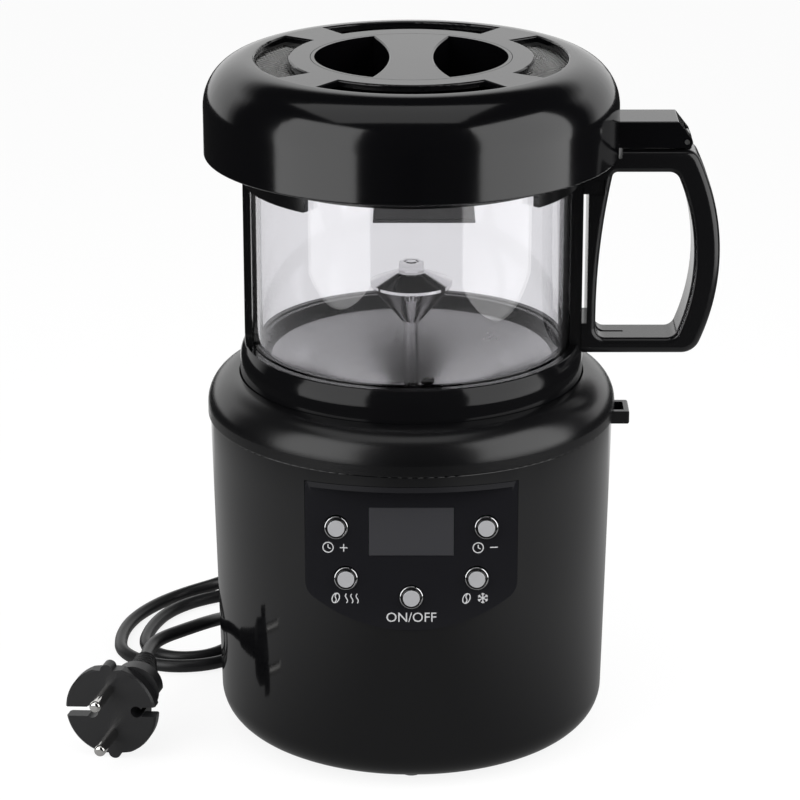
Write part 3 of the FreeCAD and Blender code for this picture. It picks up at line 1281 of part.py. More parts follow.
def power_cord(start_radius):
    """The free cord: straight runs joined by tangent arcs, swept with a round section."""
    angle = math.radians(number_of(size["gland_angle"]))
    reach = number_of(start_radius)
    first = Vector(reach * math.cos(angle), reach * math.sin(angle),
                   number_of(under + size["gland_height"]))
    place = plug_place()
    last = place.multVec(NECK_END)
    before_last = place.multVec(NECK_END + NECK_WAY * CORD_LAST_RUN)
    points = [first] + [Vector(*point) for point in CORD_ROUTE] + [before_last, last]
    for point in points:
        print(f"route ({point.x:.2f}, {point.y:.2f}, {point.z:.2f})")
    wire, length, bends = bent_wire(points)
    for radius, turn in bends:
        print(f"arc radius {radius:.1f} mm, turn {turn:.0f} degrees")
    section = Part.Wire(Part.makeCircle(number_of(size["cord_radius"]), first, points[1] - first))
    solid = wire.makePipeShell([section], True, False)
    expected = math.pi * number_of(size["cord_radius"]) ** 2 * length
    print(f"cord length {length:.1f} mm, volume {solid.Volume:.0f} of {expected:.0f} mm3")
    cord = doc.addObject("Part::Feature", "cord")
    cord.Shape = solid
    keep("power_cord", cord)


def bent_wire(points):
    """Straight runs joined by tangent arcs, with its length and the radius and turn of each arc."""
    edges, bends, length, here = [], [], 0.0, points[0]
    for before, corner, after in zip(points, points[1:], points[2:]):
        into, out = corner - before, after - corner
        step = 0.45 * min(into.Length, out.Length)
        into, out = into.normalize(), out.normalize()
        turn = math.acos(max(-1.0, min(1.0, into.dot(out))))
        radius = step / math.tan(turn / 2)
        start, end = corner - into * step, corner + out * step
        inward = (out - into).normalize()
        middle = corner + inward * (radius / math.cos(turn / 2) - radius)
        edges.append(Part.LineSegment(here, start).toShape())
        edges.append(Part.Arc(start, middle, end).toShape())
        length += (start - here).Length + radius * turn
        bends.append((radius, math.degrees(turn)))
        here = end
    edges.append(Part.LineSegment(here, points[-1]).toShape())
    return Part.Wire(edges), length + (points[-1] - here).Length, bends


# ---- build and write ----------------------------------------------------------------------------

lower_casing()
shoulder_cover()
bottom_plate()
small_fixings()
seat_deck()
release_tab()
control_panel()
display_and_board()
buttons()
fan_and_motor()
heater()
boards()
chamber_ring()
rails()
upper_ring()
bowl_and_rod()
handle()
hinge_arm()
lid_cover()
under_lid()
grip_knob()
plug()
power_cord(gland())


def check():
    doc.recompute()
    for thing in doc.Objects:
        if "Invalid" in thing.State or "Error" in thing.State:
            raise ValueError(f"{thing.Name} ({thing.Label}) failed: {thing.State}")
    for node in nodes:
        shape = node.Shape
        if shape.isNull() or not shape.isValid() or not shape.Solids:
            raise ValueError(f"{node.Label} has no valid solid")


def write():
    os.makedirs("parts", exist_ok=True)
    for node in nodes:
        shape = node.Shape
        solids = shape.Solids
        whole = solids[0] if len(solids) == 1 else Part.makeCompound(solids)
        whole.exportStep(f"parts/{node.Label}.step")
    print(f"{len(nodes)} nodes")


check()
write()
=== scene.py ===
# %% [markdown]
# # Dressing a home coffee bean roaster
# The construction model gives every part of the roaster its size and its place. This lesson adds
# what a construction model leaves out: a studio to look at it in, the finish of each part, a
# smooth power cord, and small details such as woven mesh, printed signs and plated button caps.

# %% Load the frame
import json
import math

import bmesh
import bpy
from mathutils import Matrix, Vector


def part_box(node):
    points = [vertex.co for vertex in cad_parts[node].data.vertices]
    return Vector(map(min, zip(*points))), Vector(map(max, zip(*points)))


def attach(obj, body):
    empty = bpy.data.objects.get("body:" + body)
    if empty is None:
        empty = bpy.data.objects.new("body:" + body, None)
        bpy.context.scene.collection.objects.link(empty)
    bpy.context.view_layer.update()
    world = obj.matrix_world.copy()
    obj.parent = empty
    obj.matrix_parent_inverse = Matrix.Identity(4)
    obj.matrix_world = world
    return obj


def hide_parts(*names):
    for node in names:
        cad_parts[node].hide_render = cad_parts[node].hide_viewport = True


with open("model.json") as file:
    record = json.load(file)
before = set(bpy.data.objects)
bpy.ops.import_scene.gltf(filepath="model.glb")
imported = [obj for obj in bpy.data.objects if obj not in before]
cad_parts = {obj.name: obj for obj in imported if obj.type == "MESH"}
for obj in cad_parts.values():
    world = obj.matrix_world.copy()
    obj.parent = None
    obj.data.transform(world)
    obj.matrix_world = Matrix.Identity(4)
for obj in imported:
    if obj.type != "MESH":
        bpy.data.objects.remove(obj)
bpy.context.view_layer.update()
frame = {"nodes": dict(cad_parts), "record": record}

scene = bpy.context.scene
scene.view_settings.view_transform = "Standard"
nodes = frame["nodes"]
print("parts in the frame:", len(nodes))

# %% [markdown]
# ## The camera
# A long lens stands a little over a metre in front of the roaster and looks down at it by about 19
# degrees, so the top of the lid shows as a flat ellipse. The lens is long enough that the round
# body hardly narrows with distance. A very small sideways shift puts the body right of the centre.

# %% Camera
CAMERA_PLACE = (0.0, -1.27206, 0.57886)
CAMERA_PITCH = 19.14
LENS_LENGTH = 148.889
SENSOR_WIDTH = 36.0
SIDE_SHIFT = -0.01415

lens = bpy.data.cameras.new("camera_lens")
lens.lens = LENS_LENGTH
lens.sensor_width = SENSOR_WIDTH
lens.shift_x = SIDE_SHIFT
camera = bpy.data.objects.new("camera", lens)
camera.location = CAMERA_PLACE
camera.rotation_euler = (math.radians(90.0 - CAMERA_PITCH), 0.0, 0.0)
scene.collection.objects.link(camera)
scene.camera = camera
print("camera looks down by", CAMERA_PITCH, "degrees")

# %% [markdown]
# ## The studio
# Gloss black plastic shows almost nothing of its own: what the eye reads as its shape is the
# reflection of what stands around it. So the studio has a white surround behind the roaster, which
# brightens every edge that turns away from the camera, a dark space in front, and large soft boxes
# at the left and right, whose reflections run down the body as pale upright bands. A third soft
# box hangs overhead and lights the lid.

# %% Helpers for shader arithmetic
def feed(tree, sockets, values):
    """Sets each socket to a number, or joins it to the output that is given instead."""
    for socket, value in zip(sockets, values):
        if isinstance(value, float):
            socket.default_value = value
        else:
            tree.links.new(value, socket)


def combine(tree, operation, *values):
    """One step of arithmetic between outputs and numbers."""
    step = tree.nodes.new("ShaderNodeMath")
    step.operation = operation
    feed(tree, step.inputs, values)
    return step.outputs["Value"]


def in_range(tree, value, start, end, low, high):
    """A node that carries a value from the range start to end over to the range low to high."""
    step = tree.nodes.new("ShaderNodeMapRange")
    labels = ("Value", "From Min", "From Max", "To Min", "To Max")
    feed(tree, [step.inputs[label] for label in labels], (value, start, end, low, high))
    return step


def soft_step(tree, value, start, end, low=0.0, high=1.0):
    """A smooth change from low to high while a value runs from start to end."""
    step = in_range(tree, value, start, end, low, high)
    step.interpolation_type = "SMOOTHSTEP"
    return step.outputs["Result"]


# %% [markdown]
# The surround is a world shader that works with directions. How far a direction points backwards
# and upwards decides where the white area behind the roaster begins and ends.

# %% Surround
DARK_ROOM = 0.012
MATTE_FILL = 0.50
BACK_START, BACK_END = 0.35, 0.60
HIGH_START, HIGH_END = 0.42, 0.62


def surround_light():
    """White to the camera and through glass; in gloss, white low behind and dark elsewhere."""
    world = bpy.data.worlds.new("surround")
    world.use_nodes = True
    tree = world.node_tree
    tree.nodes.clear()
    join = tree.links.new
    place = tree.nodes.new("ShaderNodeTexCoord")
    split = tree.nodes.new("ShaderNodeSeparateXYZ")
    join(place.outputs["Generated"], split.inputs["Vector"])
    behind = soft_step(tree, split.outputs["Y"], BACK_START, BACK_END)
    low = soft_step(tree, split.outputs["Z"], HIGH_START, HIGH_END, 1.0, 0.0)
    path = tree.nodes.new("ShaderNodeLightPath")
    plain = combine(tree, "MAXIMUM", path.outputs["Is Camera Ray"],
                    path.outputs["Is Transmission Ray"])
    white = combine(tree, "MAXIMUM", combine(tree, "MULTIPLY", behind, low), plain)
    lit = combine(tree, "MAXIMUM", white, DARK_ROOM)
    on_matte = path.outputs["Is Diffuse Ray"]
    elsewhere = combine(tree, "MULTIPLY", lit, combine(tree, "SUBTRACT", 1.0, on_matte))
    strength = combine(tree, "MAXIMUM", combine(tree, "MULTIPLY", on_matte, MATTE_FILL), elsewhere)
    light = tree.nodes.new("ShaderNodeBackground")
    out = tree.nodes.new("ShaderNodeOutputWorld")
    join(strength, light.inputs["Strength"])
    join(light.outputs["Background"], out.inputs["Surface"])
    light.inputs["Color"].default_value = (1.0, 1.0, 1.0, 1.0)
    scene.world = world


surround_light()
print("surround ready")

# %% [markdown]
# The table is a pale sheet. Seen directly it is nearly white and keeps a soft shadow. Seen in the
# gloss of the body it shows painted light: it glows grey in front, paler at the sides and white
# straight behind, and the glow fades out with distance as the light of the soft boxes would.

# %% Table
TABLE_HALF = 3.0
SHEET_TONE = 0.9
SHEET_GLOW, GLOW_STRENGTH = 0.80, 1.08
BOUNCE_TONE = 0.30
MIDDLE_TONE, SIDE_TONE, FAR_TONE = 0.22, 0.46, 0.04
SIDE_START, SIDE_END = 0.04, 0.22
SHEET_START, SHEET_END = 0.34, 0.50
BEHIND_START, BEHIND_END = 0.15, 0.40
WIDE_START, WIDE_END = 0.16, 0.30


def gloss_painted_light(tree):
    """Painted light: the glow that gloss sees on the table, paler at the sides and fading with
    distance.
    """
    join = tree.links.new
    place = tree.nodes.new("ShaderNodeTexCoord")
    split = tree.nodes.new("ShaderNodeSeparateXYZ")
    join(place.outputs["Object"], split.inputs["Vector"])
    reach = tree.nodes.new("ShaderNodeVectorMath")
    reach.operation = "LENGTH"
    join(place.outputs["Object"], reach.inputs[0])
    aside = combine(tree, "ABSOLUTE", split.outputs["X"])
    tone = soft_step(tree, aside, SIDE_START, SIDE_END, MIDDLE_TONE, SIDE_TONE)
    fade = soft_step(tree, reach.outputs["Value"], SHEET_START, SHEET_END, 1.0, FAR_TONE)
    back = soft_step(tree, split.outputs["Y"], BEHIND_START, BEHIND_END)
    narrow = soft_step(tree, aside, WIDE_START, WIDE_END, 1.0, 0.0)
    near = combine(tree, "MULTIPLY", tone, fade)
    glow = tree.nodes.new("ShaderNodeEmission")
    join(combine(tree, "MAXIMUM", near, combine(tree, "MULTIPLY", back, narrow)),
         glow.inputs["Strength"])
    return glow.outputs["Emission"]


def matte(tree, tone):
    """A matte grey surface."""
    surface = tree.nodes.new("ShaderNodeBsdfDiffuse")
    surface.inputs["Color"].default_value = (tone, tone, tone, 1.0)
    return surface.outputs["BSDF"]


def either(tree, share, first, second):
    """One shader where the share is 0, another where it is 1, and a mixture between."""
    mixture = tree.nodes.new("ShaderNodeMixShader")
    feed(tree, mixture.inputs, (share, first, second))
    return mixture.outputs["Shader"]


def studio_table():
    """A flat sheet whose material answers each kind of ray in its own way."""
    sheet = bmesh.new()
    bmesh.ops.create_grid(sheet, x_segments=1, y_segments=1, size=TABLE_HALF)
    mesh = bpy.data.meshes.new("studio_table")
    sheet.to_mesh(mesh)
    sheet.free()
    table = bpy.data.objects.new("studio_table", mesh)
    scene.collection.objects.link(table)
    material = bpy.data.materials.new("table_sheet")
    material.use_nodes = True
    tree = material.node_tree
    tree.nodes.clear()
    path = tree.nodes.new("ShaderNodeLightPath")
    glow = tree.nodes.new("ShaderNodeEmission")
    glow.inputs["Strength"].default_value = GLOW_STRENGTH
    out = tree.nodes.new("ShaderNodeOutputMaterial")
    direct = combine(tree, "MAXIMUM", path.outputs["Is Camera Ray"],
                     path.outputs["Is Transmission Ray"])
    bright = either(tree, SHEET_GLOW, matte(tree, SHEET_TONE), glow.outputs["Emission"])
    bounced = either(tree, path.outputs["Is Glossy Ray"], matte(tree, BOUNCE_TONE),
                     gloss_painted_light(tree))
    tree.links.new(either(tree, direct, bounced, bright), out.inputs["Surface"])
    mesh.materials.append(material)


studio_table()
print("table ready")

# %% Soft boxes
SOFT_BOXES = [
    # name, middle, width, height, watts
    ("soft_box_left", (-0.45, -0.36, 0.40), 0.50, 0.74, 2.7),
    ("soft_box_right", (0.49, -0.25, 0.40), 0.58, 0.74, 3.2),
    ("soft_box_top", (-0.13, -0.13, 1.11), 0.98, 0.75, 2.1),
]
STRAIGHT_DOWN = Vector((0.0, 0.0, -1.0))


def soft_box(name, middle, width, height, watts):
    """A lamp that faces the axis of the roaster from the side, or the table from above."""
    lamp = bpy.data.lights.new(name, "AREA")
    lamp.shape = "RECTANGLE"
    lamp.size = width
    lamp.size_y = height
    lamp.energy = watts
    box = bpy.data.objects.new(name, lamp)
    box.location = middle
    to_axis = Vector((-middle[0], -middle[1], 0.0))
    aim = STRAIGHT_DOWN if name == "soft_box_top" else to_axis
    box.rotation_euler = aim.to_track_quat("-Z", "Y").to_euler()
    box.visible_camera = False
    scene.collection.objects.link(box)


for soft_box_facts in SOFT_BOXES:
    soft_box(*soft_box_facts)
print("soft boxes:", len(SOFT_BOXES))

# %% [markdown]
# ## Effects that several finishes share
# An effect such as the fine skin of moulded plastic is built once as a node group with named
# inputs, and each material then uses it with its own numbers. All patterns are worked out from
# object coordinates, in metres, so they sit still on a part and have a real size.

# %% Helpers for node groups
PATCH_LOW, PATCH_HIGH = 0.3, 0.7


def new_group(name, inputs, outputs):
    """A node group with named inputs and outputs."""
    group = bpy.data.node_groups.new(name, "ShaderNodeTree")
    for label, value in inputs:
        socket = group.interface.new_socket(label, in_out="INPUT", socket_type="NodeSocketFloat")
        socket.default_value = value
    for label in outputs:
        group.interface.new_socket(label, in_out="OUTPUT", socket_type="NodeSocketFloat")
    source = group.nodes.new("NodeGroupInput")
    result = group.nodes.new("NodeGroupOutput")
    return group, source.outputs, result.inputs


def noise(group, place, scale, detail):
    """A noise pattern; its scale may come from an input of the group."""
    pattern = group.nodes.new("ShaderNodeTexNoise")
    labels = ("Vector", "Scale", "Detail")
    feed(group, [pattern.inputs[label] for label in labels], (place, scale, detail))
    return pattern.outputs["Fac"]


def wander(group, patches, given):
    """A roughness that patches of noise swing about its middle value."""
    centred = in_range(group, patches, PATCH_LOW, PATCH_HIGH, -1.0, 1.0)
    centred.clamp = False
    return combine(group, "MULTIPLY_ADD", centred.outputs["Result"], given["Spread"],
                   given["Rough"])


# %% [markdown]
# Moulded plastic has two faint kinds of unevenness. The skin copies the tool's texture, which is a
# fine grain. Handling leaves broad patches that are a little duller than the rest. The group gives
# a height for a bump and a roughness that wanders about a middle value.

# %% Moulded skin
GRAIN_DETAIL = 2.0
HANDLED_SCALE, HANDLED_DETAIL = 14.0, 3.0


def moulded_skin():
    """The grain and the handled patches of moulded plastic."""
    group, given, result = new_group(
        "moulded_skin",
        [("Grain Scale", 900.0), ("Grain", 0.5), ("Rough", 0.3), ("Spread", 0.05)],
        ["Height", "Roughness"])
    place = group.nodes.new("ShaderNodeTexCoord").outputs["Object"]
    grain = noise(group, place, given["Grain Scale"], GRAIN_DETAIL)
    patches = noise(group, place, HANDLED_SCALE, HANDLED_DETAIL)
    feed(group, (result["Height"], result["Roughness"]),
         (combine(group, "MULTIPLY", grain, given["Grain"]), wander(group, patches, given)))
    return group


MOULDED_SKIN = moulded_skin()
print("effect:", MOULDED_SKIN.name)

# %% [markdown]
# Sheet steel that was spun over a form keeps fine rings about its axis, and steel rod keeps lines
# along its length. Both come from noise that is squeezed until it is far longer one way. The group
# takes the squeeze as two inputs: lines per metre away from the axis, and lines per metre upwards.

# %% Turned steel
LINE_SCALE, LINE_DETAIL = 1.0, 4.0
CLOUD_SCALE, CLOUD_DETAIL = 45.0, 5.0


def turned_steel():
    """The fine rings and cloudy patches of worked steel."""
    group, given, result = new_group(
        "turned_steel",
        [("Ring Lines", 2500.0), ("Rise Lines", 40.0), ("Depth", 0.4), ("Rough", 0.2),
         ("Spread", 0.08)],
        ["Height", "Roughness", "Tone"])
    place = group.nodes.new("ShaderNodeTexCoord").outputs["Object"]
    split = group.nodes.new("ShaderNodeSeparateXYZ")
    flat = group.nodes.new("ShaderNodeCombineXYZ")
    from_axis = group.nodes.new("ShaderNodeVectorMath")
    from_axis.operation = "LENGTH"
    squeezed = group.nodes.new("ShaderNodeCombineXYZ")
    feed(group, (split.inputs["Vector"], flat.inputs["X"], flat.inputs["Y"], from_axis.inputs[0]),
         (place, split.outputs["X"], split.outputs["Y"], flat.outputs["Vector"]))
    feed(group, (squeezed.inputs["X"], squeezed.inputs["Y"]),
         (combine(group, "MULTIPLY", from_axis.outputs["Value"], given["Ring Lines"]),
          combine(group, "MULTIPLY", split.outputs["Z"], given["Rise Lines"])))
    lines = noise(group, squeezed.outputs["Vector"], LINE_SCALE, LINE_DETAIL)
    patches = noise(group, place, CLOUD_SCALE, CLOUD_DETAIL)
    feed(group, (result["Height"], result["Roughness"], result["Tone"]),
         (combine(group, "MULTIPLY", lines, given["Depth"]), wander(group, patches, given), lines))
    return group


TURNED_STEEL = turned_steel()
print("effect:", TURNED_STEEL.name)


# %% Helpers for materials
def new_material(name, colour, metallic=0.0):
    """A material with its Principled shader, ready to be joined to effects."""
    material = bpy.data.materials.new(name)
    material.use_nodes = True
    shader = material.node_tree.nodes["Principled BSDF"]
    shader.inputs["Base Color"].default_value = (*colour, 1.0)
    shader.inputs["Metallic"].default_value = metallic
    return material, shader


def add_effect(material, shader, group, bump, **values):
    """Places an effect in a material: its roughness, and its height through a bump."""
    tree = material.node_tree
    effect = tree.nodes.new("ShaderNodeGroup")
    effect.node_tree = group
    for label, value in values.items():
        effect.inputs[label.replace("_", " ")].default_value = value
    tree.links.new(effect.outputs["Roughness"], shader.inputs["Roughness"])
    if bump:
        relief = tree.nodes.new("ShaderNodeBump")
        relief.inputs["Strength"].default_value = 1.0
        relief.inputs["Distance"].default_value = bump
        tree.links.new(effect.outputs["Height"], relief.inputs["Height"])
        tree.links.new(relief.outputs["Normal"], shader.inputs["Normal"])
    return effect


def two_tone(material, shader, mask, dark, light):
    """Lets a mask choose between two colours."""
    tree = material.node_tree
    mix = tree.nodes.new("ShaderNodeMix")
    mix.data_type = "RGBA"
    mix.inputs["A"].default_value = (*dark, 1.0)
    mix.inputs["B"].default_value = (*light, 1.0)
    tree.links.new(mask, mix.inputs["Factor"])
    tree.links.new(mix.outputs["Result"], shader.inputs["Base Color"])


# %% [markdown]
# ## Plastics
# The lower casing, the chamber ring and the lid are moulded in polished tools, so they mirror the
# soft boxes with a slightly soft edge. The shoulder is a satin moulding: the same black, but the
# tool was blasted, so a highlight spreads over it. The handle lies between the two. The ring at
# the foot of the chamber mirrors a little less than the rest, so its index of refraction is lower.

# %% Plastics
PLASTICS = [
    # name, colour, grain scale, grain, roughness, spread, bump
    ("gloss_black", (0.004, 0.004, 0.0045), 260.0, 0.5, 0.075, 0.025, 0.000012),
    ("ring_black", (0.004, 0.004, 0.0045), 260.0, 0.5, 0.11, 0.02, 0.000012),
    ("lid_black", (0.0025, 0.0025, 0.003), 260.0, 0.5, 0.12, 0.03, 0.000015),
    ("matte_black", (0.004, 0.004, 0.0045), 2600.0, 0.6, 0.24, 0.03, 0.00002),
    ("handle_black", (0.005, 0.005, 0.0055), 1800.0, 0.5, 0.19, 0.04, 0.000012),
    ("panel_black", (0.0105, 0.0105, 0.0125), 1500.0, 0.5, 0.17, 0.02, 0.00001),
    ("rubber_black", (0.018, 0.018, 0.018), 3000.0, 0.8, 0.62, 0.06, 0.00004),
    ("grey_polymer", (0.115, 0.115, 0.112), 2200.0, 0.7, 0.48, 0.05, 0.00003),
    ("silicone_grey", (0.16, 0.16, 0.155), 1200.0, 0.6, 0.5, 0.05, 0.00002),
    ("switch_black", (0.02, 0.02, 0.02), 2000.0, 0.6, 0.42, 0.05, 0.00002),
    ("cord_black", (0.011, 0.011, 0.012), 1500.0, 0.7, 0.36, 0.06, 0.00003),
    ("plug_black", (0.014, 0.014, 0.015), 2400.0, 0.9, 0.38, 0.04, 0.00004),
    ("flue_black", (0.010, 0.010, 0.010), 1800.0, 0.6, 0.33, 0.05, 0.00002),
    ("display_dark", (0.045, 0.045, 0.049), 200.0, 0.3, 0.05, 0.01, 0.0),
    ("sign_ink", (0.60, 0.60, 0.61), 2500.0, 0.6, 0.40, 0.05, 0.00001),
]
PLASTIC_IOR = 1.5
DULLER_IOR = {"ring_black": 1.34}
finishes = {}


def plastic(name, colour, scale, grain, rough, spread, bump):
    """One moulded plastic, rubber or ink."""
    material, shader = new_material(name, colour)
    shader.inputs["IOR"].default_value = DULLER_IOR.get(name, PLASTIC_IOR)
    add_effect(material, shader, MOULDED_SKIN, bump, Grain_Scale=scale, Grain=grain, Rough=rough,
               Spread=spread)
    finishes[name] = material


for plastic_facts in PLASTICS:
    plastic(*plastic_facts)
print("plastics:", len(PLASTICS))

# %% [markdown]
# ## Steel and chrome
# The air bowl is spun from stainless sheet and stays fairly bright. The five buttons and the pins
# of the plug are plated. Screws, the motor can and the heater tube are plain plated steel. The
# disc on a button is plastic with a thin satin plating, so only a part of it counts as metal.

# %% Metals
METALS = [
    # name, dark tone, light tone, ring lines, rise lines, depth, roughness, spread, bump
    ("bowl_steel", (0.37, 0.365, 0.37), (0.46, 0.455, 0.46), 1600.0, 30.0, 0.5, 0.24, 0.03,
     0.000012),
    ("rod_steel", (0.66, 0.655, 0.66), (0.78, 0.775, 0.78), 60.0, 2200.0, 0.5, 0.11, 0.03, 0.00001),
    ("screw_steel", (0.42, 0.42, 0.42), (0.58, 0.58, 0.57), 900.0, 900.0, 0.5, 0.30, 0.06, 0.00001),
    ("plated_steel", (0.40, 0.40, 0.39), (0.52, 0.52, 0.50), 900.0, 200.0, 0.5, 0.34, 0.08,
     0.00002),
    ("nichrome", (0.26, 0.24, 0.23), (0.38, 0.35, 0.33), 300.0, 300.0, 0.5, 0.38, 0.08, 0.00001),
    ("mesh_steel", (0.42, 0.42, 0.42), (0.60, 0.60, 0.59), 500.0, 500.0, 0.5, 0.30, 0.06, 0.0),
    ("button_chrome", (0.72, 0.72, 0.73), (0.80, 0.80, 0.81), 300.0, 300.0, 0.2, 0.06, 0.02, 0.0),
    ("button_satin", (0.56, 0.56, 0.58), (0.60, 0.60, 0.62), 700.0, 300.0, 0.3, 0.24, 0.03, 0.0),
    ("pin_chrome", (0.70, 0.69, 0.67), (0.80, 0.79, 0.77), 300.0, 300.0, 0.2, 0.10, 0.03, 0.0),
]
PART_METAL = {"button_satin": 0.30}


def metal(name, dark, light, rings, rises, depth, rough, spread, bump):
    """One bare or plated metal."""
    material, shader = new_material(name, light, metallic=PART_METAL.get(name, 1.0))
    effect = add_effect(material, shader, TURNED_STEEL, bump, Ring_Lines=rings, Rise_Lines=rises,
                        Depth=depth, Rough=rough, Spread=spread)
    two_tone(material, shader, effect.outputs["Tone"], dark, light)
    finishes[name] = material


for metal_facts in METALS:
    metal(*metal_facts)
print("metals:", len(METALS))

# %% [markdown]
# ## Glass, mica and circuit boards
# The chamber is a plain cylinder of clear glass, a little grey where it is seen edge on. Mica is a
# flaky tan sheet. The boards are glass fibre under green lacquer, with paler tracks.

# %% Glass
GLASS_TINT = (0.87, 0.866, 0.886)
GLASS_IOR = 1.47


def clear_glass():
    """Clear glass with a trace of grey."""
    material, shader = new_material("clear_glass", GLASS_TINT)
    shader.inputs["Transmission Weight"].default_value = 1.0
    shader.inputs["Roughness"].default_value = 0.0
    shader.inputs["IOR"].default_value = GLASS_IOR
    finishes["clear_glass"] = material


clear_glass()
print("glass tint:", GLASS_TINT)

# %% Mica and boards
SPECK_GRAIN, SPECK_SPREAD, SPECK_BUMP = 0.7, 0.08, 0.00003


def speckled(name, dark, light, scale, rough):
    """Two colours in patches, for a mineral sheet or a lacquered board."""
    material, shader = new_material(name, light)
    tree = material.node_tree
    place = tree.nodes.new("ShaderNodeTexCoord")
    patches = tree.nodes.new("ShaderNodeTexVoronoi")
    patches.inputs["Scale"].default_value = scale
    tree.links.new(place.outputs["Object"], patches.inputs["Vector"])
    add_effect(material, shader, MOULDED_SKIN, SPECK_BUMP, Grain_Scale=scale, Grain=SPECK_GRAIN,
               Rough=rough, Spread=SPECK_SPREAD)
    two_tone(material, shader, patches.outputs["Distance"], dark, light)
    finishes[name] = material


speckled("mica", (0.30, 0.23, 0.15), (0.52, 0.44, 0.33), 420.0, 0.34)
speckled("board_green", (0.012, 0.075, 0.032), (0.03, 0.15, 0.07), 300.0, 0.24)
speckled("display_green", (0.035, 0.045, 0.035), (0.07, 0.085, 0.07), 150.0, 0.4)
print("finishes:", len(finishes))

# %% [markdown]
# Each part of the frame now takes the finish of its material slot. A few parts share a slot with
# others but have a polish of their own, and a small table names those.

# %% Dress the frame
OWN_FINISH = {
    "lid_cover": "lid_black", "grip_knob": "lid_black", "handle": "handle_black",
    "right_rail": "handle_black", "left_rail": "handle_black", "upper_ring": "handle_black",
    "centre_rod": "rod_steel", "deflector_cone": "rod_steel", "rod_nut": "rod_steel",
    "chamber_ring": "ring_black", "release_tab": "handle_black", "hinge_arm": "lid_black",
    "lid_spacers": "lid_black",
}
slot_of = {row["node"]: row["material_slot"] for row in frame["record"]["subparts"]}
for node_name, part in nodes.items():
    finish_name = OWN_FINISH.get(node_name, slot_of[node_name])
    for surface in part.material_slots:
        surface.material = finishes[finish_name]
print("dressed parts:", len(nodes))


# %% A helper for new pieces
def new_piece(name, shape, body, finish, smooth=True):
    """Turns a bmesh into an object at the origin that rides on a body."""
    mesh = bpy.data.meshes.new(name)
    shape.to_mesh(mesh)
    shape.free()
    for face in mesh.polygons:
        face.use_smooth = smooth
    mesh.materials.append(finishes[finish])
    piece = bpy.data.objects.new(name, mesh)
    scene.collection.objects.link(piece)
    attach(piece, body)
    return piece


# %% [markdown]
# ## Signs on the control panel
# The signs below the buttons are printed. Ink lies on the panel as a very thin layer, so each sign
# is a real layer of ink that stands a little less than a tenth of a millimetre above the panel and
# follows its slight bow. Lines are curves with a round section that is squashed flat once it is a
# mesh; the words ON/OFF are a text curve.

# %% Helpers for ink
PANEL_MIDDLE = (0.0, -0.08056, 0.070)
PANEL_LEAN = Matrix.Rotation(math.radians(83.5), 4, "X")
PANEL_FACE = Matrix.Translation(PANEL_MIDDLE) @ PANEL_LEAN
PANEL_BOW = 0.520
INK_WIDTH = 0.00042
INK_RISE = 0.00008
MM = 0.001


def on_panel(button):
    """The middle of a button, measured across and up the panel."""
    low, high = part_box(button)
    return PANEL_FACE.inverted() @ ((Vector(low) + Vector(high)) / 2)


def curve_shape(curve):
    """The evaluated mesh of a curve, as a bmesh."""
    holder = bpy.data.objects.new(curve.name, curve)
    scene.collection.objects.link(holder)
    bpy.context.view_layer.update()
    solid = bpy.data.meshes.new_from_object(
        holder.evaluated_get(bpy.context.evaluated_depsgraph_get()))
    shape = bmesh.new()
    shape.from_mesh(solid)
    bpy.data.objects.remove(holder)
    bpy.data.curves.remove(curve)
    bpy.data.meshes.remove(solid)
    return shape


def ink_lines(name, paths):
    """Printed lines: each path is (closed, points in millimetres)."""
    curve = bpy.data.curves.new(name, "CURVE")
    curve.dimensions = "3D"
    curve.bevel_depth = INK_WIDTH / 2
    curve.bevel_resolution = 1
    curve.use_fill_caps = True
    for closed, points in paths:
        line = curve.splines.new("POLY")
        line.points.add(len(points) - 1)
        for point, (x, y) in zip(line.points, points):
            point.co = (x * MM, y * MM, 0.0, 1.0)
        line.use_cyclic_u = closed
    shape = curve_shape(curve)
    flat = Matrix.Scale(2 * INK_RISE / INK_WIDTH, 4, (0.0, 0.0, 1.0))
    bmesh.ops.transform(shape, matrix=flat, verts=shape.verts[:])
    return shape


def ink_words(words, width, height):
    """Printed words of a given width and height of capitals."""
    curve = bpy.data.curves.new("words", "FONT")
    curve.body = words
    curve.extrude = INK_RISE
    curve.resolution_u = 3
    shape = curve_shape(curve)
    low = Vector([min(v.co[axis] for v in shape.verts) for axis in range(3)])
    high = Vector([max(v.co[axis] for v in shape.verts) for axis in range(3)])
    middle = (low + high) / 2
    fit = Matrix.Diagonal((width / (high.x - low.x), height / (high.y - low.y), 1.0, 1.0))
    bmesh.ops.transform(shape, matrix=fit @ Matrix.Translation(-middle), verts=shape.verts[:])
    return shape


# %% The shapes of the signs
# All sizes are in millimetres, about the middle of a sign.
def ring_path(x, y, wide, high, turn=0.0, steps=28):
    """An ellipse, turned about its middle."""
    cos_turn, sin_turn = math.cos(math.radians(turn)), math.sin(math.radians(turn))
    points = []
    for step in range(steps):
        angle = math.tau * step / steps
        across, up = wide * math.cos(angle), high * math.sin(angle)
        points.append((x + across * cos_turn - up * sin_turn,
                       y + across * sin_turn + up * cos_turn))
    return True, points


def stroke(*points):
    """An open line through points."""
    return False, list(points)


def wave_path(x, reach, swing, steps=12):
    """An upright line with one full swing to each side."""
    return stroke(*[(x + swing * math.sin(math.tau * step / steps),
                     -reach + 2 * reach * step / steps) for step in range(steps + 1)])


def clock_sign(with_plus):
    """A clock face beside a plus or a minus."""
    lines = [ring_path(-3.2, 0.0, 2.0, 2.0), stroke((-3.2, 1.2), (-3.2, 0.0), (-2.3, -0.5)),
             stroke((1.4, 0.0), (4.4, 0.0))]
    if with_plus:
        lines.append(stroke((2.9, -1.5), (2.9, 1.5)))
    return lines


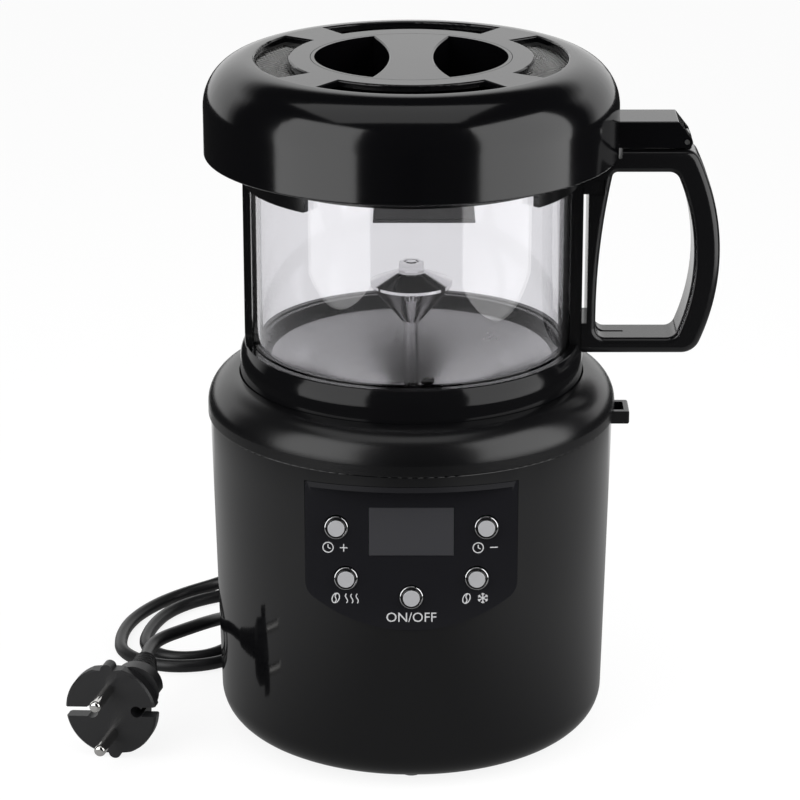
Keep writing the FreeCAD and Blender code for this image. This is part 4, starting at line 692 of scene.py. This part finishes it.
def bean_lines(x, steps=10):
    """A coffee bean with its wavy crease."""
    crease = [(x + 0.38 * math.sin(math.tau * step / steps) + 0.075 * (step - steps // 2),
               0.36 * (step - steps // 2)) for step in range(steps + 1)]
    return [ring_path(x, 0.0, 1.35, 2.05, -22.0), stroke(*crease)]


def roast_sign():
    """A bean beside three waves of heat."""
    return bean_lines(-4.0) + [wave_path(x, 1.9, 0.42) for x in (0.2, 2.3, 4.4)]


def cool_sign(spokes=6):
    """A bean beside a snow crystal."""
    lines = bean_lines(-4.0)
    middle = Vector((2.4, 0.0))
    for spoke in range(spokes):
        angle = math.tau * (spoke + 0.5) / spokes
        along = Vector((math.cos(angle), math.sin(angle)))
        aside = Vector((-along.y, along.x))
        fork = middle + 1.25 * along
        lines.append(stroke(tuple(middle), tuple(middle + 2.1 * along)))
        lines.append(stroke(tuple(fork + 0.6 * along + 0.55 * aside), tuple(fork),
                            tuple(fork + 0.6 * along - 0.55 * aside)))
    return lines


# %% Print the signs
SIGNS = {
    "button_time_up": clock_sign(True), "button_time_down": clock_sign(False),
    "button_roast": roast_sign(), "button_cool": cool_sign(), "button_power": None,
}
SIGN_DROP = 0.00805
WORDS_WIDTH, WORDS_HEIGHT = 0.0195, 0.0038


def panel_signs():
    """All the ink on the panel as one mesh; each sign stands below its button."""
    ink = bmesh.new()
    for button, lines in SIGNS.items():
        middle = on_panel(button)
        sign = (ink_lines(button + "_sign", lines) if lines
                else ink_words("ON/OFF", WORDS_WIDTH, WORDS_HEIGHT))
        place = Matrix.Translation((middle.x, middle.y - SIGN_DROP, 0.0))
        bmesh.ops.transform(sign, matrix=place, verts=sign.verts[:])
        scrap = bpy.data.meshes.new("scrap")
        sign.to_mesh(scrap)
        sign.free()
        ink.from_mesh(scrap)
        bpy.data.meshes.remove(scrap)
    for corner in ink.verts:
        corner.co.z -= corner.co.x ** 2 / PANEL_BOW
    bmesh.ops.transform(ink, matrix=PANEL_FACE, verts=ink.verts[:])
    return new_piece("panel_signs", ink, "base", "sign_ink", smooth=False)


panel_signs()
print("signs printed:", len(SIGNS))

# %% [markdown]
# ## Button caps
# Each button is a plated cap: a thin bright collar, a steep wall and a satin disc on top. The wall
# is black as a painted reflection of the dark room in front. The outline of half a cap is spun
# about the middle. Points set close together on both sides of every edge keep the shading of the
# flat disc clean.

# %% Helpers for spun pieces
DOUBLES_APART = 0.000002


def close_skin(shape):
    """Merges the corners that lie on one spot and turns every face outwards."""
    bmesh.ops.remove_doubles(shape, verts=shape.verts[:], dist=DOUBLES_APART)
    bmesh.ops.recalc_face_normals(shape, faces=shape.faces[:])


def lathe(profile, steps):
    """Spins a profile of (radius, height) points about the Z axis into a closed skin."""
    shape = bmesh.new()
    corners = [shape.verts.new((radius, 0.0, height)) for radius, height in profile]
    edges = [shape.edges.new(pair) for pair in zip(corners, corners[1:])]
    bmesh.ops.spin(shape, geom=corners + edges, cent=(0.0, 0.0, 0.0), axis=(0.0, 0.0, 1.0),
                   angle=math.tau, steps=steps, use_merge=True)
    close_skin(shape)
    return shape


# %% Caps
# Radii and heights above the panel, in millimetres.
CAP_PROFILE = [(0.0, -2.5), (4.6, -2.5), (4.6, 0.30), (4.52, 0.52), (4.35, 0.66), (4.15, 0.70),
               (3.98, 0.62), (3.92, 0.50), (3.30, 1.74), (3.24, 1.85), (3.14, 1.90), (3.00, 1.90),
               (0.0, 1.90)]
DISC_RADIUS, DISC_HEIGHT = 3.26, 1.80
WALL_RADIUS = 3.93
CAP_STEPS = 48


def button_cap(button):
    """A cap with a chrome collar, a black wall and a satin disc, seated on the bowed panel."""
    middle = on_panel(button)
    cap = lathe([(radius * MM, height * MM) for radius, height in CAP_PROFILE], CAP_STEPS)
    for face in cap.faces:
        spot = face.calc_center_median()
        radius = math.hypot(spot.x, spot.y)
        if radius < DISC_RADIUS * MM and spot.z > DISC_HEIGHT * MM:
            face.material_index = 1
        elif radius < WALL_RADIUS * MM and spot.z > 0.0:
            face.material_index = 2
    seat = Matrix.Translation((middle.x, middle.y, -middle.x ** 2 / PANEL_BOW))
    bmesh.ops.transform(cap, matrix=PANEL_FACE @ seat, verts=cap.verts[:])
    piece = new_piece(button + "_cap", cap, button, "button_chrome")
    piece.data.materials.append(finishes["button_satin"])
    # Painted reflection: the steep wall takes the black lid finish to show the dark crescent that a
    # plated wall shows by mirroring the dark room in front.
    piece.data.materials.append(finishes["lid_black"])
    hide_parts(button)


for button in SIGNS:
    button_cap(button)
print("button caps:", len(SIGNS))

# %% [markdown]
# ## Woven mesh in the lid
# Under each vent of the lid lies a piece of woven steel mesh that holds back chaff. It starts as a
# flat grid that is turned, as cut mesh always lies a little askew, and cut to the shape of the four
# vents. The crossings are moved up and down in turn, as the wires pass over and under, and every
# edge then becomes a thin wire.

# %% Weave the mesh
MESH_PITCH = 0.0014
MESH_CELLS = 94
MESH_TURN = 11.0
MESH_INNER, MESH_OUTER = 0.0466, 0.0643
VENT_TURN, MESH_SPREAD = 90.0, 37.5
MESH_HEIGHT = 0.2755
MESH_LIFT = 0.00010
MESH_WIRE = 0.00048


def woven_mesh():
    """The four pieces of mesh as one object, which takes the place of the plain screens."""
    shape = bmesh.new()
    bmesh.ops.create_grid(shape, x_segments=MESH_CELLS, y_segments=MESH_CELLS,
                          size=MESH_CELLS // 2 * MESH_PITCH)
    for crossing in shape.verts:
        row, column = round(crossing.co.y / MESH_PITCH), round(crossing.co.x / MESH_PITCH)
        crossing.co.z = MESH_HEIGHT + (MESH_LIFT if (row + column) % 2 else -MESH_LIFT)
    turn = Matrix.Rotation(math.radians(MESH_TURN), 4, "Z")
    bmesh.ops.transform(shape, matrix=turn, verts=shape.verts[:])
    outside = []
    for cell in shape.faces:
        middle = cell.calc_center_median()
        radius = math.hypot(middle.x, middle.y)
        angle = math.degrees(math.atan2(middle.y, middle.x)) % VENT_TURN
        beside = min(angle, VENT_TURN - angle)
        if not MESH_INNER < radius < MESH_OUTER or beside > MESH_SPREAD:
            outside.append(cell)
    bmesh.ops.delete(shape, geom=outside, context="FACES")
    bmesh.ops.wireframe(shape, faces=shape.faces[:], thickness=MESH_WIRE, use_replace=True,
                        use_boundary=True, use_even_offset=False)
    bmesh.ops.recalc_face_normals(shape, faces=shape.faces[:])
    mesh = new_piece("woven_mesh", shape, "lid", "mesh_steel", smooth=False)
    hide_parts("mesh_screens")
    return mesh


print("faces in the woven mesh:", len(woven_mesh().data.polygons))

# %% [markdown]
# ## Ribs on the two ends of the cord
# A cable would break where it enters a stiff part, so both ends have a soft sleeve with ribs, which
# bends in an even curve. Each rib is a small circle spun about the line of the cable.

# %% Ribs
RIB_SIDES, RIB_STEPS = 8, 40
RIB_COUNT = 6


def ribs(name, start, end, radii, thickness, finish):
    """Rings along a tapered sleeve from start to end."""
    start, end = Vector(start), Vector(end)
    shape = bmesh.new()
    for rib in range(RIB_COUNT):
        share = (rib + 0.5) / RIB_COUNT
        radius = radii[0] + (radii[1] - radii[0]) * share
        circle = bmesh.ops.create_circle(shape, segments=RIB_SIDES, radius=thickness)["verts"]
        upright = Matrix.Translation((radius, 0.0, 0.0)) @ Matrix.Rotation(math.pi / 2, 4, "X")
        bmesh.ops.transform(shape, matrix=upright, verts=circle)
        edges = list({edge for corner in circle for edge in corner.link_edges})
        before = len(shape.verts)
        bmesh.ops.spin(shape, geom=circle + edges, cent=(0.0, 0.0, 0.0), axis=(0.0, 0.0, 1.0),
                       angle=math.tau, steps=RIB_STEPS, use_merge=True)
        ring = circle + shape.verts[before:]
        turn = (end - start).to_track_quat("Z", "Y").to_matrix().to_4x4()
        place = Matrix.Translation(start.lerp(end, share)) @ turn
        bmesh.ops.transform(shape, matrix=place, verts=ring)
    close_skin(shape)
    return new_piece(name, shape, "base", finish)


NECK_START, NECK_END = (-0.11019, -0.0335, 0.02810), (-0.11009, -0.0129, 0.02770)
NECK_RADII, NECK_RIB = (0.00655, 0.00388), 0.0006
RELIEF_LINE = Vector((-0.5, 0.8660254, 0.0))
RELIEF_RISE = Vector((0.0, 0.0, 0.020))
RELIEF_START, RELIEF_END = 0.0880 * RELIEF_LINE + RELIEF_RISE, 0.1068 * RELIEF_LINE + RELIEF_RISE
RELIEF_RADII, RELIEF_RIB = (0.00475, 0.00373), 0.00055
neck_ribs = ribs("neck_ribs", NECK_START, NECK_END, NECK_RADII, NECK_RIB, "plug_black")
relief_ribs = ribs("relief_ribs", RELIEF_START, RELIEF_END, RELIEF_RADII, RELIEF_RIB, "cord_black")
print("ribs on each sleeve:", RIB_COUNT)

# %% [markdown]
# ## The power cord
# The lead leaves the back of the base through a gland, bends down to the table and lies there in a
# loose hank of four strands before it comes forward to the plug. It is a curve with a few control
# points, so it bends as smoothly as the real cable, and a round section gives it its thickness.

# %% Cord route
CORD_RADIUS = 0.0028
CORD_STEPS, CORD_ROUNDNESS = 10, 6
CORD_EXIT = (-0.05367, 0.09297, 0.0200)
CORD_ROUTE = [
    CORD_EXIT,
    (-0.06197, 0.10735, 0.0200), (-0.0730, 0.1195, 0.0140), (-0.0875, 0.1255, 0.0055),
    (-0.1035, 0.1195, 0.0029), (-0.1155, 0.1060, 0.0029), (-0.1245, 0.0890, 0.0029),
    (-0.1280, 0.0700, 0.0029), (-0.1260, 0.0510, 0.0029), (-0.1078, 0.0364, 0.0029),
    (-0.0835, 0.0395, 0.0029), (-0.0705, 0.0565, 0.0029), (-0.0530, 0.0730, 0.0029),
    (-0.0310, 0.0850, 0.0029), (-0.0060, 0.0908, 0.0029), (0.0244, 0.0910, 0.0029),
    (0.0420, 0.1086, 0.0029), (0.0420, 0.1334, 0.0029), (0.0244, 0.1510, 0.0029),
    (-0.0030, 0.1500, 0.0029), (-0.0290, 0.1450, 0.0029), (-0.0530, 0.1355, 0.0029),
    (-0.0740, 0.1220, 0.0029), (-0.0950, 0.1130, 0.0029), (-0.1090, 0.0985, 0.0029),
    (-0.1160, 0.0780, 0.0029), (-0.1170, 0.0580, 0.0029), (-0.1050, 0.0460, 0.0029),
    (-0.0870, 0.0480, 0.0029), (-0.0745, 0.0655, 0.0029), (-0.0560, 0.0830, 0.0029),
    (-0.0330, 0.0955, 0.0029), (-0.0020, 0.1012, 0.0029), (0.0203, 0.1010, 0.0029),
    (0.0320, 0.1127, 0.0029), (0.0320, 0.1293, 0.0029), (0.0203, 0.1410, 0.0029),
    (-0.0010, 0.1408, 0.0029), (-0.0280, 0.1340, 0.0029), (-0.0500, 0.1210, 0.0029),
    (-0.0675, 0.1045, 0.0029), (-0.0720, 0.0900, 0.0032), (-0.0755, 0.0770, 0.0075),
    (-0.0770, 0.0610, 0.0150), (-0.0795, 0.0455, 0.0225), (-0.0865, 0.0316, 0.0263),
    (-0.0964, 0.0204, 0.0272), (-0.1059, 0.0102, 0.0276), (-0.11004, -0.00091, 0.02748),
    (-0.11009, -0.0119, 0.02768),
]


def power_cord():
    """The lead from the gland to the neck of the plug, which takes the place of the plain one."""
    curve = bpy.data.curves.new("cord", "CURVE")
    curve.dimensions = "3D"
    curve.resolution_u = CORD_STEPS
    curve.bevel_depth = CORD_RADIUS
    curve.bevel_resolution = CORD_ROUNDNESS
    curve.use_fill_caps = True
    line = curve.splines.new("NURBS")
    line.points.add(len(CORD_ROUTE) - 1)
    for point, place in zip(line.points, CORD_ROUTE):
        point.co = (*place, 1.0)
    line.order_u = 3
    line.use_endpoint_u = True
    curve.materials.append(finishes["cord_black"])
    cord = bpy.data.objects.new("cord", curve)
    scene.collection.objects.link(cord)
    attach(cord, "base")
    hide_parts("power_cord")
    return cord


cord = power_cord()
print("cord control points:", len(CORD_ROUTE))
